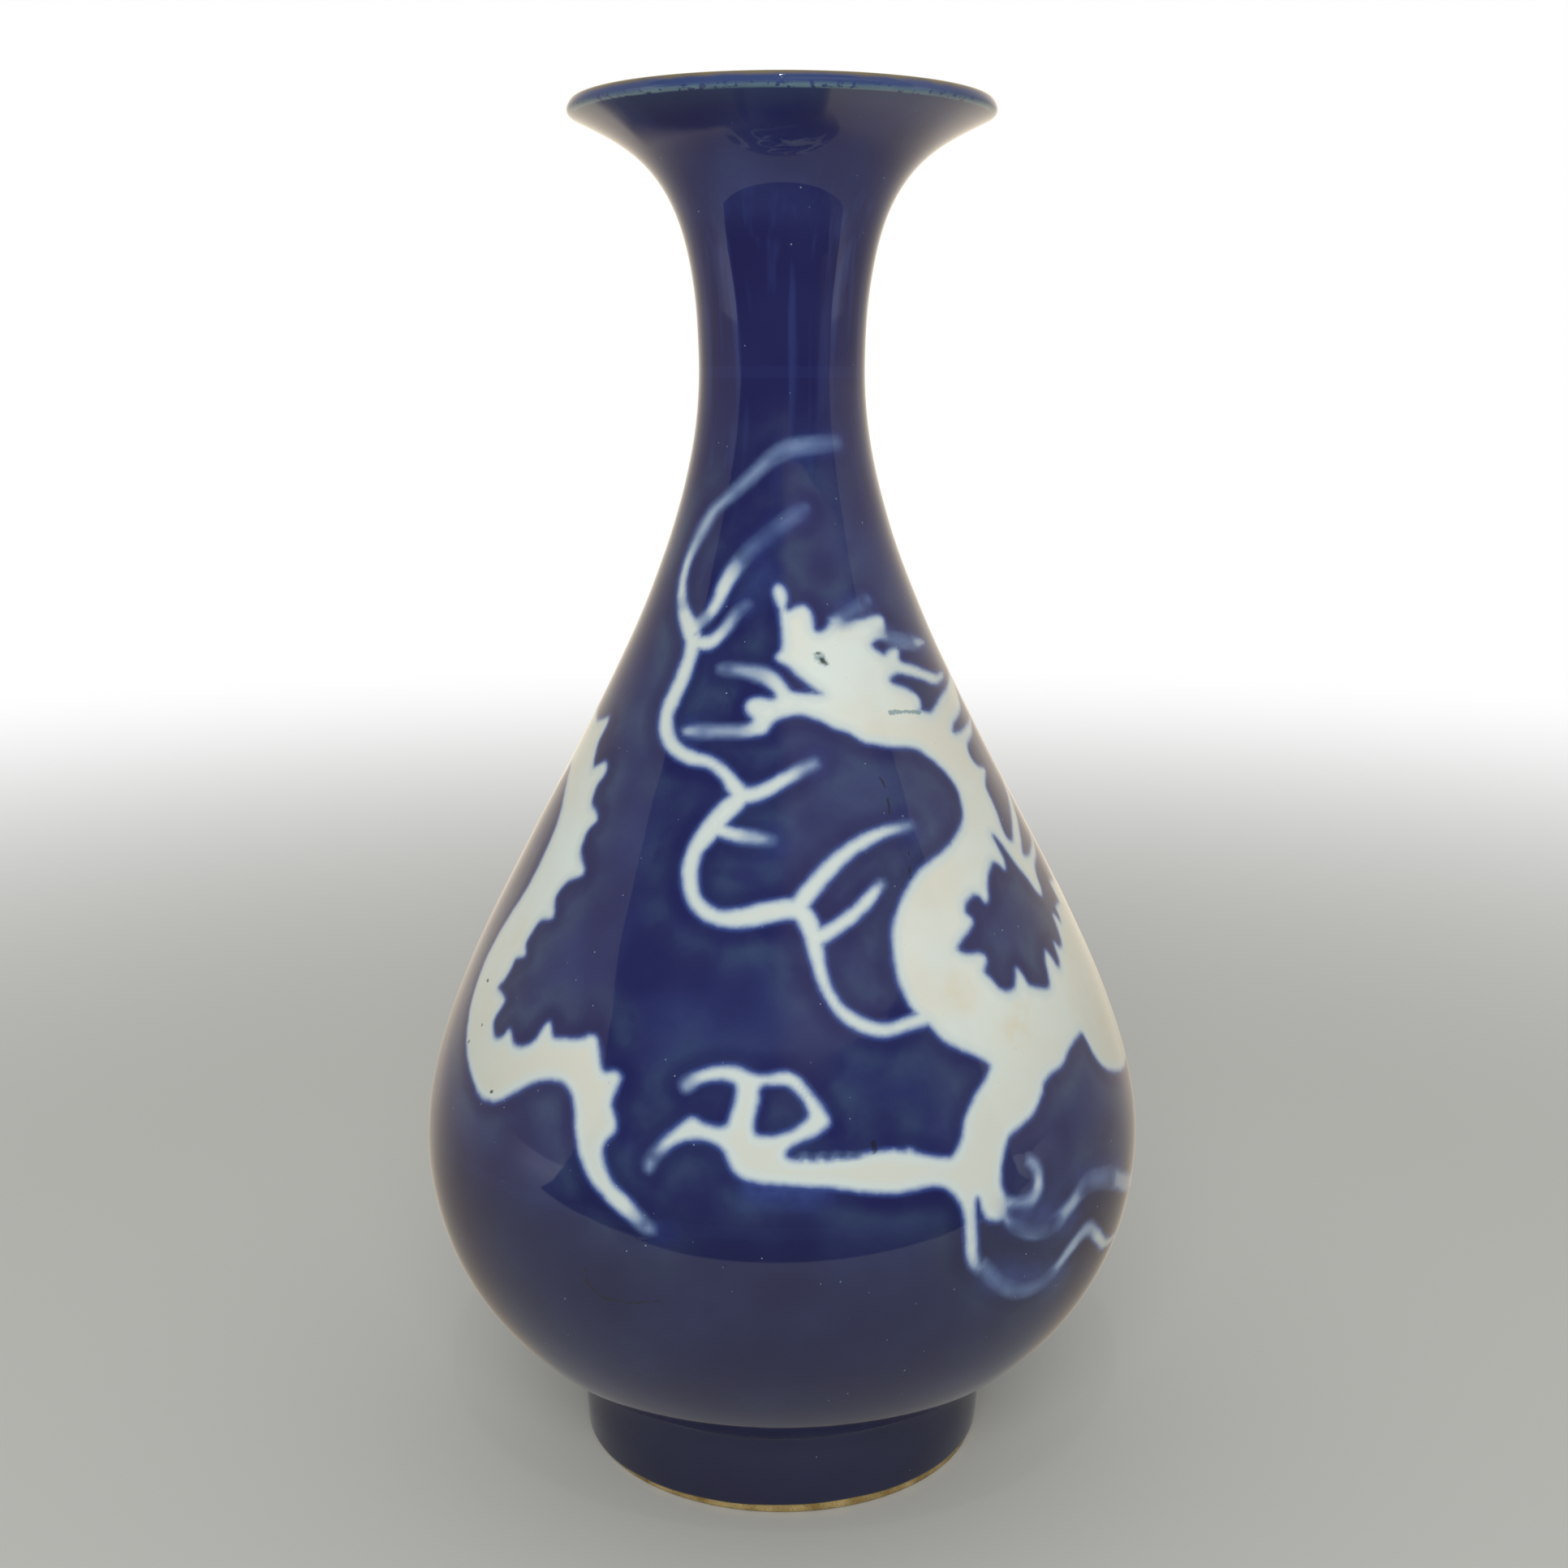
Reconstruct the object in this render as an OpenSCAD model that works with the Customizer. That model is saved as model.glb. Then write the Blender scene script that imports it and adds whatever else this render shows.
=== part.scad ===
// Pear-shaped bottle vase (yuhuchunping) in stoneware.
// Four thrown sections are luted together with slip. A blue glaze coats the outside, a clear
// glaze the inside, and a dragon of white slip lies flush in the blue.
// Millimetres. The vase stands on z = 0 with its axis on Z, and its front faces -Y.

/* [Body] */
// Overall height, to the top of the lip
height = 300; // [285:1:325]
// Radius of the belly at its widest ring
belly_r = 81.5; // [76:0.5:88]
// Height of the widest ring
belly_z = 74; // [68:1:80]
// Radius of the arc under the belly
belly_round = 61; // [57:1:66]
// Reach of the shoulder's curve above the widest ring, as a share of the rise to the waist
shoulder_pull = 0.275; // [0.2:0.005:0.36]
// Reach of the neck's curve below the waist, as a share of the same rise
neck_pull = 0.34; // [0.26:0.005:0.42]

/* [Neck and mouth] */
// Radius of the neck at its waist
waist_r = 18; // [16:0.5:22]
// Height of the waist
waist_z = 245; // [238:1:254]
// Radius of the mouth at the underside of the lip
mouth_r = 44.3; // [38:0.1:50]
// Slope of the flare where it meets the lip
flare_slope = 25.5; // [18:0.5:34]
// Reach of the neck's curve above the waist, as a share of the rise to the lip
flare_pull = 0.77; // [0.6:0.01:0.82]
// Reach of the flare's curve inward from the lip, as a share of the same rise
mouth_pull = 0.3; // [0.2:0.01:0.4]
// Swell of the lip's rounded edge
lip_swell = 1.6; // [1.1:0.1:2.4]

/* [Clay walls] */
// Wall of the belly and the floor
belly_wall = 5; // [4:0.1:7]
// Wall at the neck's waist
neck_wall = 3.6; // [3:0.1:5]
// Wall at the lip
lip_wall = 2; // [1.6:0.1:3]

/* [Foot] */
// Radius of the glazed foot
foot_r = 46.4; // [42:0.1:50]
// Swell of the foot's glaze at half height
foot_swell = 0.4; // [0.1:0.1:0.8]
// Reach of the glaze that pools between foot and belly
foot_fillet = 4; // [2:0.5:6]
// Width of the foot ring's clay
foot_width = 7.5; // [5:0.5:10]
// Chamfer round the resting face
foot_chamfer = 0.6; // [0.3:0.1:1]
// Bare clay left above the resting face
foot_bare = 1.9; // [1:0.1:3]

/* [Joints] */
// Thickness of the slip in each joint
slip_t = 0.8; // [0.4:0.1:1.4]
// Drop of each beveled joint from outside to inside
joint_drop = 3; // [1.5:0.5:5]
// Height of the belly's joint above the widest ring
belly_joint_rise = 8; // [4:1:20]

/* [Glaze] */
// Thickness of the blue glaze, and of the white slip set in it
blue_t = 0.8; // [0.5:0.1:1.2]
// Thickness of the clear glaze
clear_t = 0.4; // [0.3:0.1:0.6]

/* [Dragon] */
// Height of the waist on the vase that the dragon is drawn for
drawn_waist = 245; // [240:1:250]
// Spread of the white slip past its drawn edge
slip_spread = 0.1; // [0.05:0.05:0.4]
// Height of the dorsal fin's spikes
spike_h = 5; // [3:0.5:8]
// Length of the hair strokes on the foreleg
hair_h = 1.2; // [1:0.1:3]

/* [Hidden] */

$fn = 120;
clay = "#c9b48c";
blue = "#23265f";
clear = "#dcdcd0";
white = "#e2e5de";

// Curve steps: arcs and beziers of the profile, lip, and each stretch of a drawn line
body_steps = 30;
arc_steps = 18;
flare_steps = 16;
lip_steps = 5;
line_steps = 3;
// How far past the glaze a cut reaches
past = 5;

// Profile of the glazed surface
// A station is [radius, height, direction], and its direction is level at 0 and upright at 90.

function bezier(p, t) =
    p[0] * pow(1 - t, 3) + 3 * p[1] * t * pow(1 - t, 2) + 3 * p[2] * t * t * (1 - t) + p[3] * pow(t, 3);

function bezier_way(p, t) =
    (p[1] - p[0]) * pow(1 - t, 2) + 2 * (p[2] - p[1]) * t * (1 - t) + (p[3] - p[2]) * t * t;

function stations(p, steps, first = 0) = [
    for (i = [first : steps])
        let (t = i / steps, at = bezier(p, t), way = bezier_way(p, t))
        [at[0], at[1], atan2(way[1], way[0])]
];

// The point at a depth under a station
function under(s, depth) = [s[0] - depth * sin(s[2]), s[1] + depth * cos(s[2])];

// Height on the belly's arc, at some depth under the glaze
function arc_z(r, depth = 0) = belly_z - sqrt(pow(belly_round - depth, 2) - pow(r - arc_r, 2));

arc_r = belly_r - belly_round;
body_rise = waist_z - belly_z;
coat_in = blue_t + lip_wall + clear_t;
lip_up = cos(flare_slope) * coat_in / 2;
lip_out = sin(flare_slope) * lip_swell;
lip_z = height - lip_up - sqrt(lip_up * lip_up + lip_out * lip_out);
flare_rise = lip_z - waist_z;

bowl_line = [
    for (i = [0 : arc_steps])
        let (a = 90 * i / arc_steps)
        [arc_r + belly_round * sin(a), belly_z - belly_round * cos(a), a]
];
body_line = stations([
    [belly_r, belly_z],
    [belly_r, belly_z + shoulder_pull * body_rise],
    [waist_r, waist_z - neck_pull * body_rise],
    [waist_r, waist_z]
], body_steps, 1);
flare_line = stations([
    [waist_r, waist_z],
    [waist_r, waist_z + flare_pull * flare_rise],
    [mouth_r, lip_z] - mouth_pull * flare_rise * [cos(flare_slope), sin(flare_slope)],
    [mouth_r, lip_z]
], flare_steps, 1);
surface = concat(bowl_line, body_line, flare_line);

wall_table = [[belly_z, belly_wall], [waist_z, neck_wall], [lip_z, lip_wall]];
function wall(z) = lookup(z, wall_table);

glaze_face = [for (s = surface) under(s, 0)];
clay_face = [for (s = surface) under(s, blue_t)];
hollow_face = [for (s = surface) under(s, blue_t + wall(s[1]))];
inner_face = [for (s = surface) under(s, blue_t + wall(s[1]) + clear_t)];

function turned(line) = [for (i = [len(line) - 1 : -1 : 0]) line[i]];
function table(line) = [for (p = line) [p[1], p[0]]];
glaze_table = table(glaze_face);
clay_table = table(clay_face);
hollow_table = table(hollow_face);

// The stretch of a face between two heights
function stretch(line, by_height, low, high) = concat(
    [[lookup(low, by_height), low]],
    [for (p = line) if (p[1] > low && p[1] < high) p],
    [[lookup(high, by_height), high]]
);

// The rounded lip from outside to inside, between two of its angles
function lip(outer, inner, swell, from, to) =
    let (half = (inner - outer) / 2, way = [half[1], -half[0]] / norm(half))
    [
        for (i = [0 : lip_steps])
            let (a = from + (to - from) * i / lip_steps)
            (outer + inner) / 2 - half * cos(a) + way * swell * sin(a)
    ];

lip_top = 180 - atan2(lip_out, lip_up);
lip_mouth = [glaze_face[len(surface) - 1], inner_face[len(surface) - 1]];
lip_clay = [clay_face[len(surface) - 1], hollow_face[len(surface) - 1]];
clay_swell = lip_swell - clear_t;

// Clay sections and their joints

belly_joint = belly_z + belly_joint_rise;
neck_joint = waist_z;
foot_clay_r = foot_r - blue_t;
foot_in_r = foot_clay_r - foot_width;
joint_r = [for (i = [0 : arc_steps]) foot_clay_r - foot_width * i / arc_steps];

module turn(outline) rotate_extrude() polygon(outline);

// The edge of a joint, above or below its slip, as [outside, inside]
function joint_edge(z, side) = [
    [lookup(z + side * slip_t / 2, clay_table), z + side * slip_t / 2],
    [lookup(z + side * slip_t / 2 - joint_drop, hollow_table), z + side * slip_t / 2 - joint_drop]
];

// A section of clay wall between two joints
module section(low, high)
    turn(concat(
        stretch(clay_face, clay_table, low + slip_t / 2, high - slip_t / 2),
        turned(stretch(
            hollow_face, hollow_table, low + slip_t / 2 - joint_drop, high - slip_t / 2 - joint_drop
        ))
    ));

module joint_slip(z)
    let (low = joint_edge(z, -1), high = joint_edge(z, 1))
    turn([low[0], high[0], high[1], low[1]]);

module foot_ring()
    color(clay)
        turn(concat(
            [
                [foot_in_r, foot_chamfer],
                [foot_in_r + foot_chamfer, 0],
                [foot_clay_r - foot_chamfer, 0],
                [foot_clay_r, foot_chamfer]
            ],
            [for (r = joint_r) [r, arc_z(r, blue_t - slip_t)]]
        ));

module foot_slip()
    color(clay)
        turn(concat(
            [for (r = joint_r) [r, arc_z(r, blue_t)]],
            turned([for (r = joint_r) [r, arc_z(r, blue_t - slip_t)]])
        ));

module lower_body()
    let (top = joint_edge(belly_joint, -1))
    color(clay)
        turn(concat(
            [[0, clay_face[0][1]]],
            [for (p = clay_face) if (p[1] < top[0][1]) p],
            top,
            turned([for (p = hollow_face) if (p[1] < top[1][1]) p]),
            [[0, hollow_face[0][1]]]
        ));

module belly_slip() color(clay) joint_slip(belly_joint);

module upper_body() color(clay) section(belly_joint, neck_joint);

module neck_slip() color(clay) joint_slip(neck_joint);

module neck_and_mouth()
    let (foot = joint_edge(neck_joint, 1))
    color(clay)
        turn(concat(
            [foot[0]],
            [for (p = clay_face) if (p[1] > foot[0][1]) p],
            lip(lip_clay[0], lip_clay[1], clay_swell, 0, lip_top),
            lip(lip_clay[0], lip_clay[1], clay_swell, lip_top, 180),
            turned([for (p = hollow_face) if (p[1] > foot[1][1]) p]),
            [foot[1]]
        ));

// Glazes

module inner_glaze()
    color(clear)
        turn(concat(
            [[0, hollow_face[0][1]]],
            hollow_face,
            turned(lip(lip_clay[0], lip_clay[1], clay_swell, lip_top, 180)),
            lip(lip_mouth[0], lip_mouth[1], lip_swell, lip_top, 180),
            turned(inner_face),
            [[0, inner_face[0][1]]]
        ));

// The clear glaze under the floor turns down the inside of the foot ring
module base_glaze()
    let (edge_r = foot_in_r - clear_t, floor = [for (s = bowl_line) under(s, blue_t)])
    color(clear)
        turn(concat(
            [[0, floor[0][1]]],
            [for (p = floor) if (p[0] < foot_in_r) p],
            [
                [foot_in_r, arc_z(foot_in_r, blue_t)],
                [foot_in_r, foot_bare],
                [edge_r, foot_bare],
                [edge_r, arc_z(edge_r, blue_t) - clear_t]
            ],
            turned([for (p = floor) if (p[0] < edge_r) p - [0, clear_t]]),
            [[0, floor[0][1] - clear_t]]
        ));

foot_z = arc_z(foot_r);
pool_z = foot_z - foot_fillet;
pool_r = foot_r + foot_fillet;
pool = [[foot_r, pool_z], [foot_r, foot_z], [foot_r, foot_z], [pool_r, arc_z(pool_r)]];
foot_line = [
    for (i = [0 : lip_steps])
        let (t = i / lip_steps)
        [foot_r + foot_swell * sin(180 * t), foot_bare + (pool_z - foot_bare) * t]
];
foot_clay_z = arc_z(foot_clay_r, blue_t);

// The whole outer coat, from the foot's bare band to the top of the lip
module coat()
    turn(concat(
        foot_line,
        [for (i = [1 : lip_steps]) bezier(pool, i / lip_steps)],
        [for (p = glaze_face) if (p[0] > pool_r && p[1] < belly_z) p],
        [for (p = glaze_face) if (p[1] >= belly_z) p],
        lip(lip_mouth[0], lip_mouth[1], lip_swell, 0, lip_top),
        turned(lip(lip_clay[0], lip_clay[1], clay_swell, 0, lip_top)),
        turned([for (p = clay_face) if (p[1] > foot_clay_z) p]),
        [[foot_clay_r, foot_clay_z], [foot_clay_r, foot_bare]]
    ));

// Drawing on the glazed surface
// A drawn point is [angle from the front, height] and a ribbon's has its half width too.

function eased(a, b, c, d, t) =
    b + ((c - a) * t + (2 * a - 5 * b + 4 * c - d) * t * t + (3 * b - a - 3 * c + d) * pow(t, 3)) / 2;

// A smooth closed line through drawn points
function loop(line) =
    let (n = len(line))
    [
        for (i = [0 : n - 1], k = [0 : line_steps - 1])
            eased(line[(i + n - 1) % n], line[i], line[(i + 1) % n], line[(i + 2) % n], k / line_steps)
    ];

// A smooth open line through drawn points
function path(line) =
    let (n = len(line) - 1)
    concat(
        [
            for (i = [0 : n - 1], k = [0 : line_steps - 1])
                eased(line[max(i - 1, 0)], line[i], line[i + 1], line[min(i + 2, n)], k / line_steps)
        ],
        [line[n]]
    );

drawn_scale = waist_z / drawn_waist;
function placed(p) = [p[0], p[1] * drawn_scale];
function surface_r(z) = lookup(z, glaze_table);

// Length on the surface of a degree of angle at a height
function degree_l(z) = surface_r(z) * PI / 180;

// The point at a distance to the side of a line's step from a to b
function beside(at, a, b, distance) =
    let (l = degree_l(at[1]), way = [(b[0] - a[0]) * l, b[1] - a[1]], unit = way / norm(way))
    [at[0] - distance * unit[1] / l, at[1] + distance * unit[0]];

function edge(line, side) = [
    for (i = [0 : len(line) - 1])
        let (at = line[i], a = line[max(i - 1, 0)], b = line[min(i + 1, len(line) - 1)])
        beside(at, a, b, side * at[2] * drawn_scale)
];

function lifted(line) = [for (p = line) [p[0], p[1] * drawn_scale, p[2]]];

// Drawn points as the flat outline seen along the facing direction
function flat(line, facing) = [for (p = line) [surface_r(p[1]) * sin(p[0] - facing), p[1]]];

module area(line) polygon(flat([for (p = loop(line)) placed(p)], $facing));

module ribbon(line)
    let (run = lifted(path(line)))
    polygon(flat(concat(edge(run, 1), turned(edge(run, -1))), $facing));

// Spikes along one side of a ribbon, leaning back along it
module spikes(line, side)
    let (run = lifted(path(line)))
    for (i = [1 : 2 : len(run) - 3])
        let (
            root = beside(run[i], run[i], run[i + 2], side * run[i][2] / 2),
            next = beside(run[i + 2], run[i], run[i + 2], side * run[i + 2][2] / 2),
            tip = beside(run[i + 2], run[i], run[i + 2], side * (run[i + 2][2] + spike_h))
        )
        polygon(flat([root, next, tip], $facing));

// Flat outlines pushed out through the coat along the direction that they are drawn for
module stamp(facing) {
    $facing = facing;
    rotate([0, 0, facing])
        rotate([90, 0, 0])
            linear_extrude(belly_r + past)
                offset(delta = slip_spread)
                    children();
}

// The white slip inside the first child, less what the other children cover
module leaf()
    color(white)
        difference() {
            intersection() {
                coat();
                children(0);
            }
            if ($children > 1) children([1 : $children - 1]);
        }

// Cuts that part one leaf from the next: a wedge of angles, and all above or below a height
cut_r = 2 * belly_r;
module sector(from, to)
    linear_extrude(height)
        polygon(concat([[0, 0]], [
            for (i = [0 : arc_steps])
                let (a = from + (to - from) * i / arc_steps)
                cut_r * [sin(a), -cos(a)]
        ]));
module above(z) translate([-cut_r, -cut_r, z]) cube([2 * cut_r, 2 * cut_r, height]);
module below(z) above(z - height);

// The dragon, drawn on the front, the right side, the back and the left side

// Where its body is parted: the neck's height over the chest, and angles round the belly
collar_z = 130.2 * drawn_scale;
flank_from = 76;
back_from = 134;
hip_from = 212;
tail_from = 278;

// Directions that its parts are drawn for, as angles from the front
head_facing = 2;
neck_facing = 45;
foreleg_facing = 10;
tail_facing = -52;
right_leg_facing = 130;
left_leg_facing = 208;
shoulder_facing = -4;
tongue_facing = -10;
hind_facing = 143;

head_line = [
    [-3.6, 200], [-2, 201.2], [0.3, 200.6], [1.8, 199], [1.2, 197], [2.6, 196], [5.5, 196.6],
    [8.5, 197], [10.8, 196], [11.6, 194], [11.8, 192.2], [14, 191.5], [17, 192.2], [20, 193.6],
    [24, 194.2], [27, 193], [28, 182], [27, 171], [24, 170.2], [20, 172], [15, 173.4], [11, 175],
    [7, 176], [3, 176], [-1, 175.2], [-3.6, 173.8], [-5, 172.5], [-9, 172], [-16, 171.8], [-24, 171.4],
    [-29, 171.6], [-28, 172.6], [-20, 173.1], [-12, 173.3], [-9, 174], [-8.3, 175.2], [-10.2, 176.2],
    [-11, 177.4], [-10, 178.5], [-7, 178.9], [-4, 178.6], [-1.5, 179.2], [-3, 180.8], [-7, 182.4],
    [-13, 183.4], [-20, 183.9], [-21.5, 184.4], [-20, 185], [-12, 185], [-5, 184.4], [-1, 183],
    [1.5, 181], [3, 180], [8, 179.6], [13.5, 179.6], [10, 181.1], [6, 183.3], [2, 185.4], [-1.6, 186.8],
    [0, 188.2], [0.6, 190], [0, 193], [-0.8, 196], [-2.4, 198]
];
module head_stamp() stamp(head_facing) area(head_line);

mane_line = [
    [20, 193], [28, 194], [34, 193.8], [40, 194.2], [43.6, 193.6], [43, 191.6], [43.5, 190.4],
    [49, 189.8], [55, 189], [61, 188.4], [66, 187.6], [60, 187.2], [53, 187.4], [47, 188.2],
    [43.6, 189.2], [40, 189.9], [36, 189.6], [34.2, 188.5], [36.5, 187.2], [39, 186.3], [42, 187.1],
    [45.6, 187.6], [46.6, 186.8], [45.4, 185.4], [46.4, 184.4], [51, 183.6], [57, 182.2], [64, 180.8],
    [72, 180.4], [66, 179.4], [60, 179.4], [54, 180.8], [48, 182], [43, 182.7], [39.5, 182.2],
    [38, 181.2], [40, 180.3], [44, 179.4], [47.5, 178.2], [48.8, 176.8], [48, 175.4], [46, 174.9],
    [40, 175], [33, 175.3], [26, 174], [20, 176]
];
wisp_line = [[20, 193.4, 0.8], [27, 195, 0.5], [33, 196.4, 0.5], [38, 197.6, 0.2]];
module mane_stamp()
    stamp(neck_facing) {
        area(mane_line);
        ribbon(wisp_line);
    }

neck_line = [
    [20, 178], [32, 176.6], [42, 175.6], [48, 174.4], [52, 173.9], [57, 175.2], [63, 176.5],
    [70, 177.6], [78, 178.9], [86, 179.6], [80, 176], [74, 173.2], [67, 171.8], [62, 170.9],
    [59, 169.3], [62, 168.6], [67, 168.8], [73, 169.2], [80, 169.7], [73, 167.6], [67, 166.7],
    [64, 165.6], [63.2, 163.6], [65, 161.4], [69, 160.2], [66, 158.7], [63.8, 157], [63.6, 153],
    [62.2, 149.5], [62.2, 147], [64.4, 145.6], [68, 147.6], [74, 151], [84, 155.6], [79, 151],
    [73, 147.2], [68, 144], [66.6, 142.3], [70, 141.5], [76, 142.4], [82, 143.4], [77, 141], [72, 140],
    [69.2, 138.4], [67.8, 135.6], [66.4, 134.2], [64.6, 135.6], [63.2, 138.6], [61, 142.2], [59.2, 146],
    [57.6, 148.4], [56.2, 148.4], [56.4, 146], [56.4, 143.4], [55.4, 142], [54, 143.4], [52, 143.9],
    [49.6, 142.7], [47.6, 140.6], [46.4, 138.2], [45, 137.4], [44, 138.8], [42, 139.2], [39.6, 138.2],
    [38.6, 136.2], [39.8, 134.6], [38.4, 133.2], [36, 131.8], [33.8, 130.2], [31, 126], [26, 123],
    [21.7, 123], [20.9, 127], [20.8, 131], [21.8, 135.8], [24.9, 140.7], [29.4, 144.4], [34.2, 146.6],
    [40, 148.5], [45, 151], [48.5, 153.6], [50.2, 156.8], [50, 160], [47.5, 163.4], [44, 166],
    [40, 168], [34, 168.8], [28, 169.6], [22, 171.2]
];
module neck_stamp()
    intersection() {
        stamp(neck_facing) area(neck_line);
        above(collar_z);
    }

chest_line = [
    [20.8, 131], [21.8, 135.8], [26, 138], [31, 135], [33.8, 130.2], [36, 128.8], [38.6, 128.4],
    [40, 127.4], [39.4, 126.2], [38.6, 125], [39.6, 123.4], [41, 121.2], [43, 120.2], [45, 120.6],
    [46.2, 122.4], [47, 123.6], [47.8, 122], [48.6, 120], [51, 118.8], [53, 118], [55, 118.5],
    [55.9, 121], [56.8, 123.4], [57.9, 124.5], [58.8, 123], [59.4, 121], [60.6, 120.3], [61.8, 122],
    [62.4, 124.8], [63.6, 123.6], [65.4, 123.6], [66.8, 126], [67.5, 129.3], [68.8, 128.8], [70, 127.2],
    [71, 128.6], [71.6, 131.2], [73.6, 133.6], [77, 135], [80, 135], [82, 114], [80, 93], [76, 93.4],
    [70, 95], [65.5, 97.4], [62.4, 100.4], [60.8, 104.6], [59.8, 107.4], [57, 107.1], [53.6, 106],
    [51, 104.2], [48, 103.6], [45, 102.5], [43, 100], [39, 103], [35, 108], [33.6, 109.8], [30, 112.2],
    [27, 114.8], [25.4, 117.4], [24.4, 119.4], [22.8, 120.4], [21.7, 123], [20.9, 127]
];
module chest_stamp()
    intersection() {
        stamp(neck_facing) area(chest_line);
        below(collar_z);
        sector(0, flank_from);
    }

foreleg_line = [
    [44, 102], [41, 97.6], [38, 96], [35.6, 94.8], [34, 92], [33, 88.5], [32.8, 85.5], [33.6, 82.4],
    [33.4, 79.6], [31.6, 79.4], [30, 80.4], [29.2, 83.2], [28.7, 84.8], [28.1, 83.6], [28, 80],
    [28, 75], [28.5, 71.6], [29.7, 69], [28.2, 69.8], [26.9, 72.6], [26.5, 77], [26.4, 82],
    [25.6, 85.2], [24.2, 87.3], [22.6, 88.5], [19.5, 88.7], [16, 88.3], [12, 89], [8, 90.2], [3, 90.8],
    [-2, 91.3], [-5.6, 92.3], [-7.2, 94.4], [-8, 96.6], [-9.6, 98.2], [-12, 99], [-14.4, 98.4],
    [-16.6, 96.6], [-18.2, 94.4], [-19.2, 92], [-19.4, 93.6], [-18, 96.7], [-15.5, 99.9], [-13.3, 102.1],
    [-12, 101.4], [-9.6, 100.8], [-8, 101.4], [-7.3, 104], [-6.6, 107], [-7.2, 109.2], [-9.6, 109.7],
    [-12.6, 108.8], [-14.6, 107.2], [-15.3, 108.3], [-13.8, 110], [-10.6, 111.4], [-7, 111.7],
    [-4.6, 110.6], [-2.4, 110.4], [0.6, 110.9], [2.4, 109.9], [4.4, 107.2], [6.2, 104], [6.8, 102],
    [5.4, 100.4], [2.8, 99], [0.8, 97.6], [0.6, 95.8], [2.6, 95], [8, 95], [13.6, 96], [18.6, 95],
    [23.2, 93.4], [25, 93], [26.4, 94.4], [27.5, 96.6], [28.4, 99.6], [30.4, 103], [33.4, 106],
    [36, 109], [41, 108]
];
claw_gap = [
    [-4, 100], [-4.2, 103], [-3.8, 106], [-3.5, 108.6], [-1.4, 109.2], [1, 109], [2.9, 106.8],
    [4, 103.8], [3.2, 102], [1, 100.4], [-1.6, 99.6]
];
// Hairs stand on the foreleg at these angles, each from root to tip
hair_angles = [4 : 2.2 : 20];
hair_line = [[0, 93.5, 0.9], [-0.4, 94.6, 0.6], [-1, 94.6 + hair_h, 0.2]];
module foreleg_stamp()
    stamp(foreleg_facing) {
        difference() {
            area(foreleg_line);
            area(claw_gap);
        }
        for (a = hair_angles) ribbon([for (p = hair_line) p + [a, 0, 0]]);
    }

curl_line = [
    [33.6, 82.2, 0.8], [35, 81.2, 0.8], [37.4, 80.8, 0.9], [39.4, 82.2, 1], [40.1, 85, 0.9],
    [39.7, 87.6, 0.8], [38.5, 89, 0.4]
];
wave_line = [
    [33, 80.5, 0.8], [35.6, 76.4, 0.7], [39, 73.8, 0.7], [43.2, 74, 1], [47.4, 76.6, 1.2],
    [51.2, 79, 1.2], [55, 78.4, 1.3], [60, 76, 1.5], [65, 72.6, 1.6], [70, 69.4, 1.4], [77, 67, 0.6]
];
low_wave_line = [
    [29.2, 70.4, 0.8], [32.6, 65, 0.7], [36.6, 61.6, 0.8], [41, 60.8, 0.8], [44.3, 62.8, 0.9],
    [47.8, 66.4, 1], [50.8, 68.4, 1.1], [53.2, 68, 1.1], [56, 64.8, 1], [61, 60, 0.9], [68, 58, 0.4]
];
module elbow_stamp()
    stamp(neck_facing) {
        ribbon(curl_line);
        ribbon(wave_line);
        ribbon(low_wave_line);
    }

flank_line = [
    [74, 114, 20.5], [82, 113, 20], [91, 111, 18], [101, 108, 16], [111, 107, 14.6], [121, 110, 13.8],
    [131, 118, 13.2], [140, 127, 12.6]
];
back_line = [
    [126, 114, 13.4], [136, 123, 13], [147, 133, 12.6], [159, 140, 12.2], [172, 142, 11.8],
    [185, 137, 11.4], [197, 127, 11], [208, 116, 10.6], [216, 110, 10.4]
];
hip_line = [
    [204, 119, 10.8], [213, 111, 10.5], [223, 107, 10.2], [234, 108, 9.8], [245, 115, 9.2],
    [254, 127, 8.6], [260, 141, 8], [266, 155, 7.2], [274, 164, 6.4], [282, 165.6, 5.6]
];
module body_stamp(line, from, to)
    intersection() {
        stamp((from + to) / 2) {
            ribbon(line);
            spikes(line, 1);
        }
        sector(from, to);
    }
module flank_stamp() body_stamp(flank_line, flank_from, back_from);
module back_stamp() body_stamp(back_line, back_from, hip_from);
module hip_stamp() body_stamp(hip_line, hip_from, tail_from);

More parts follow.
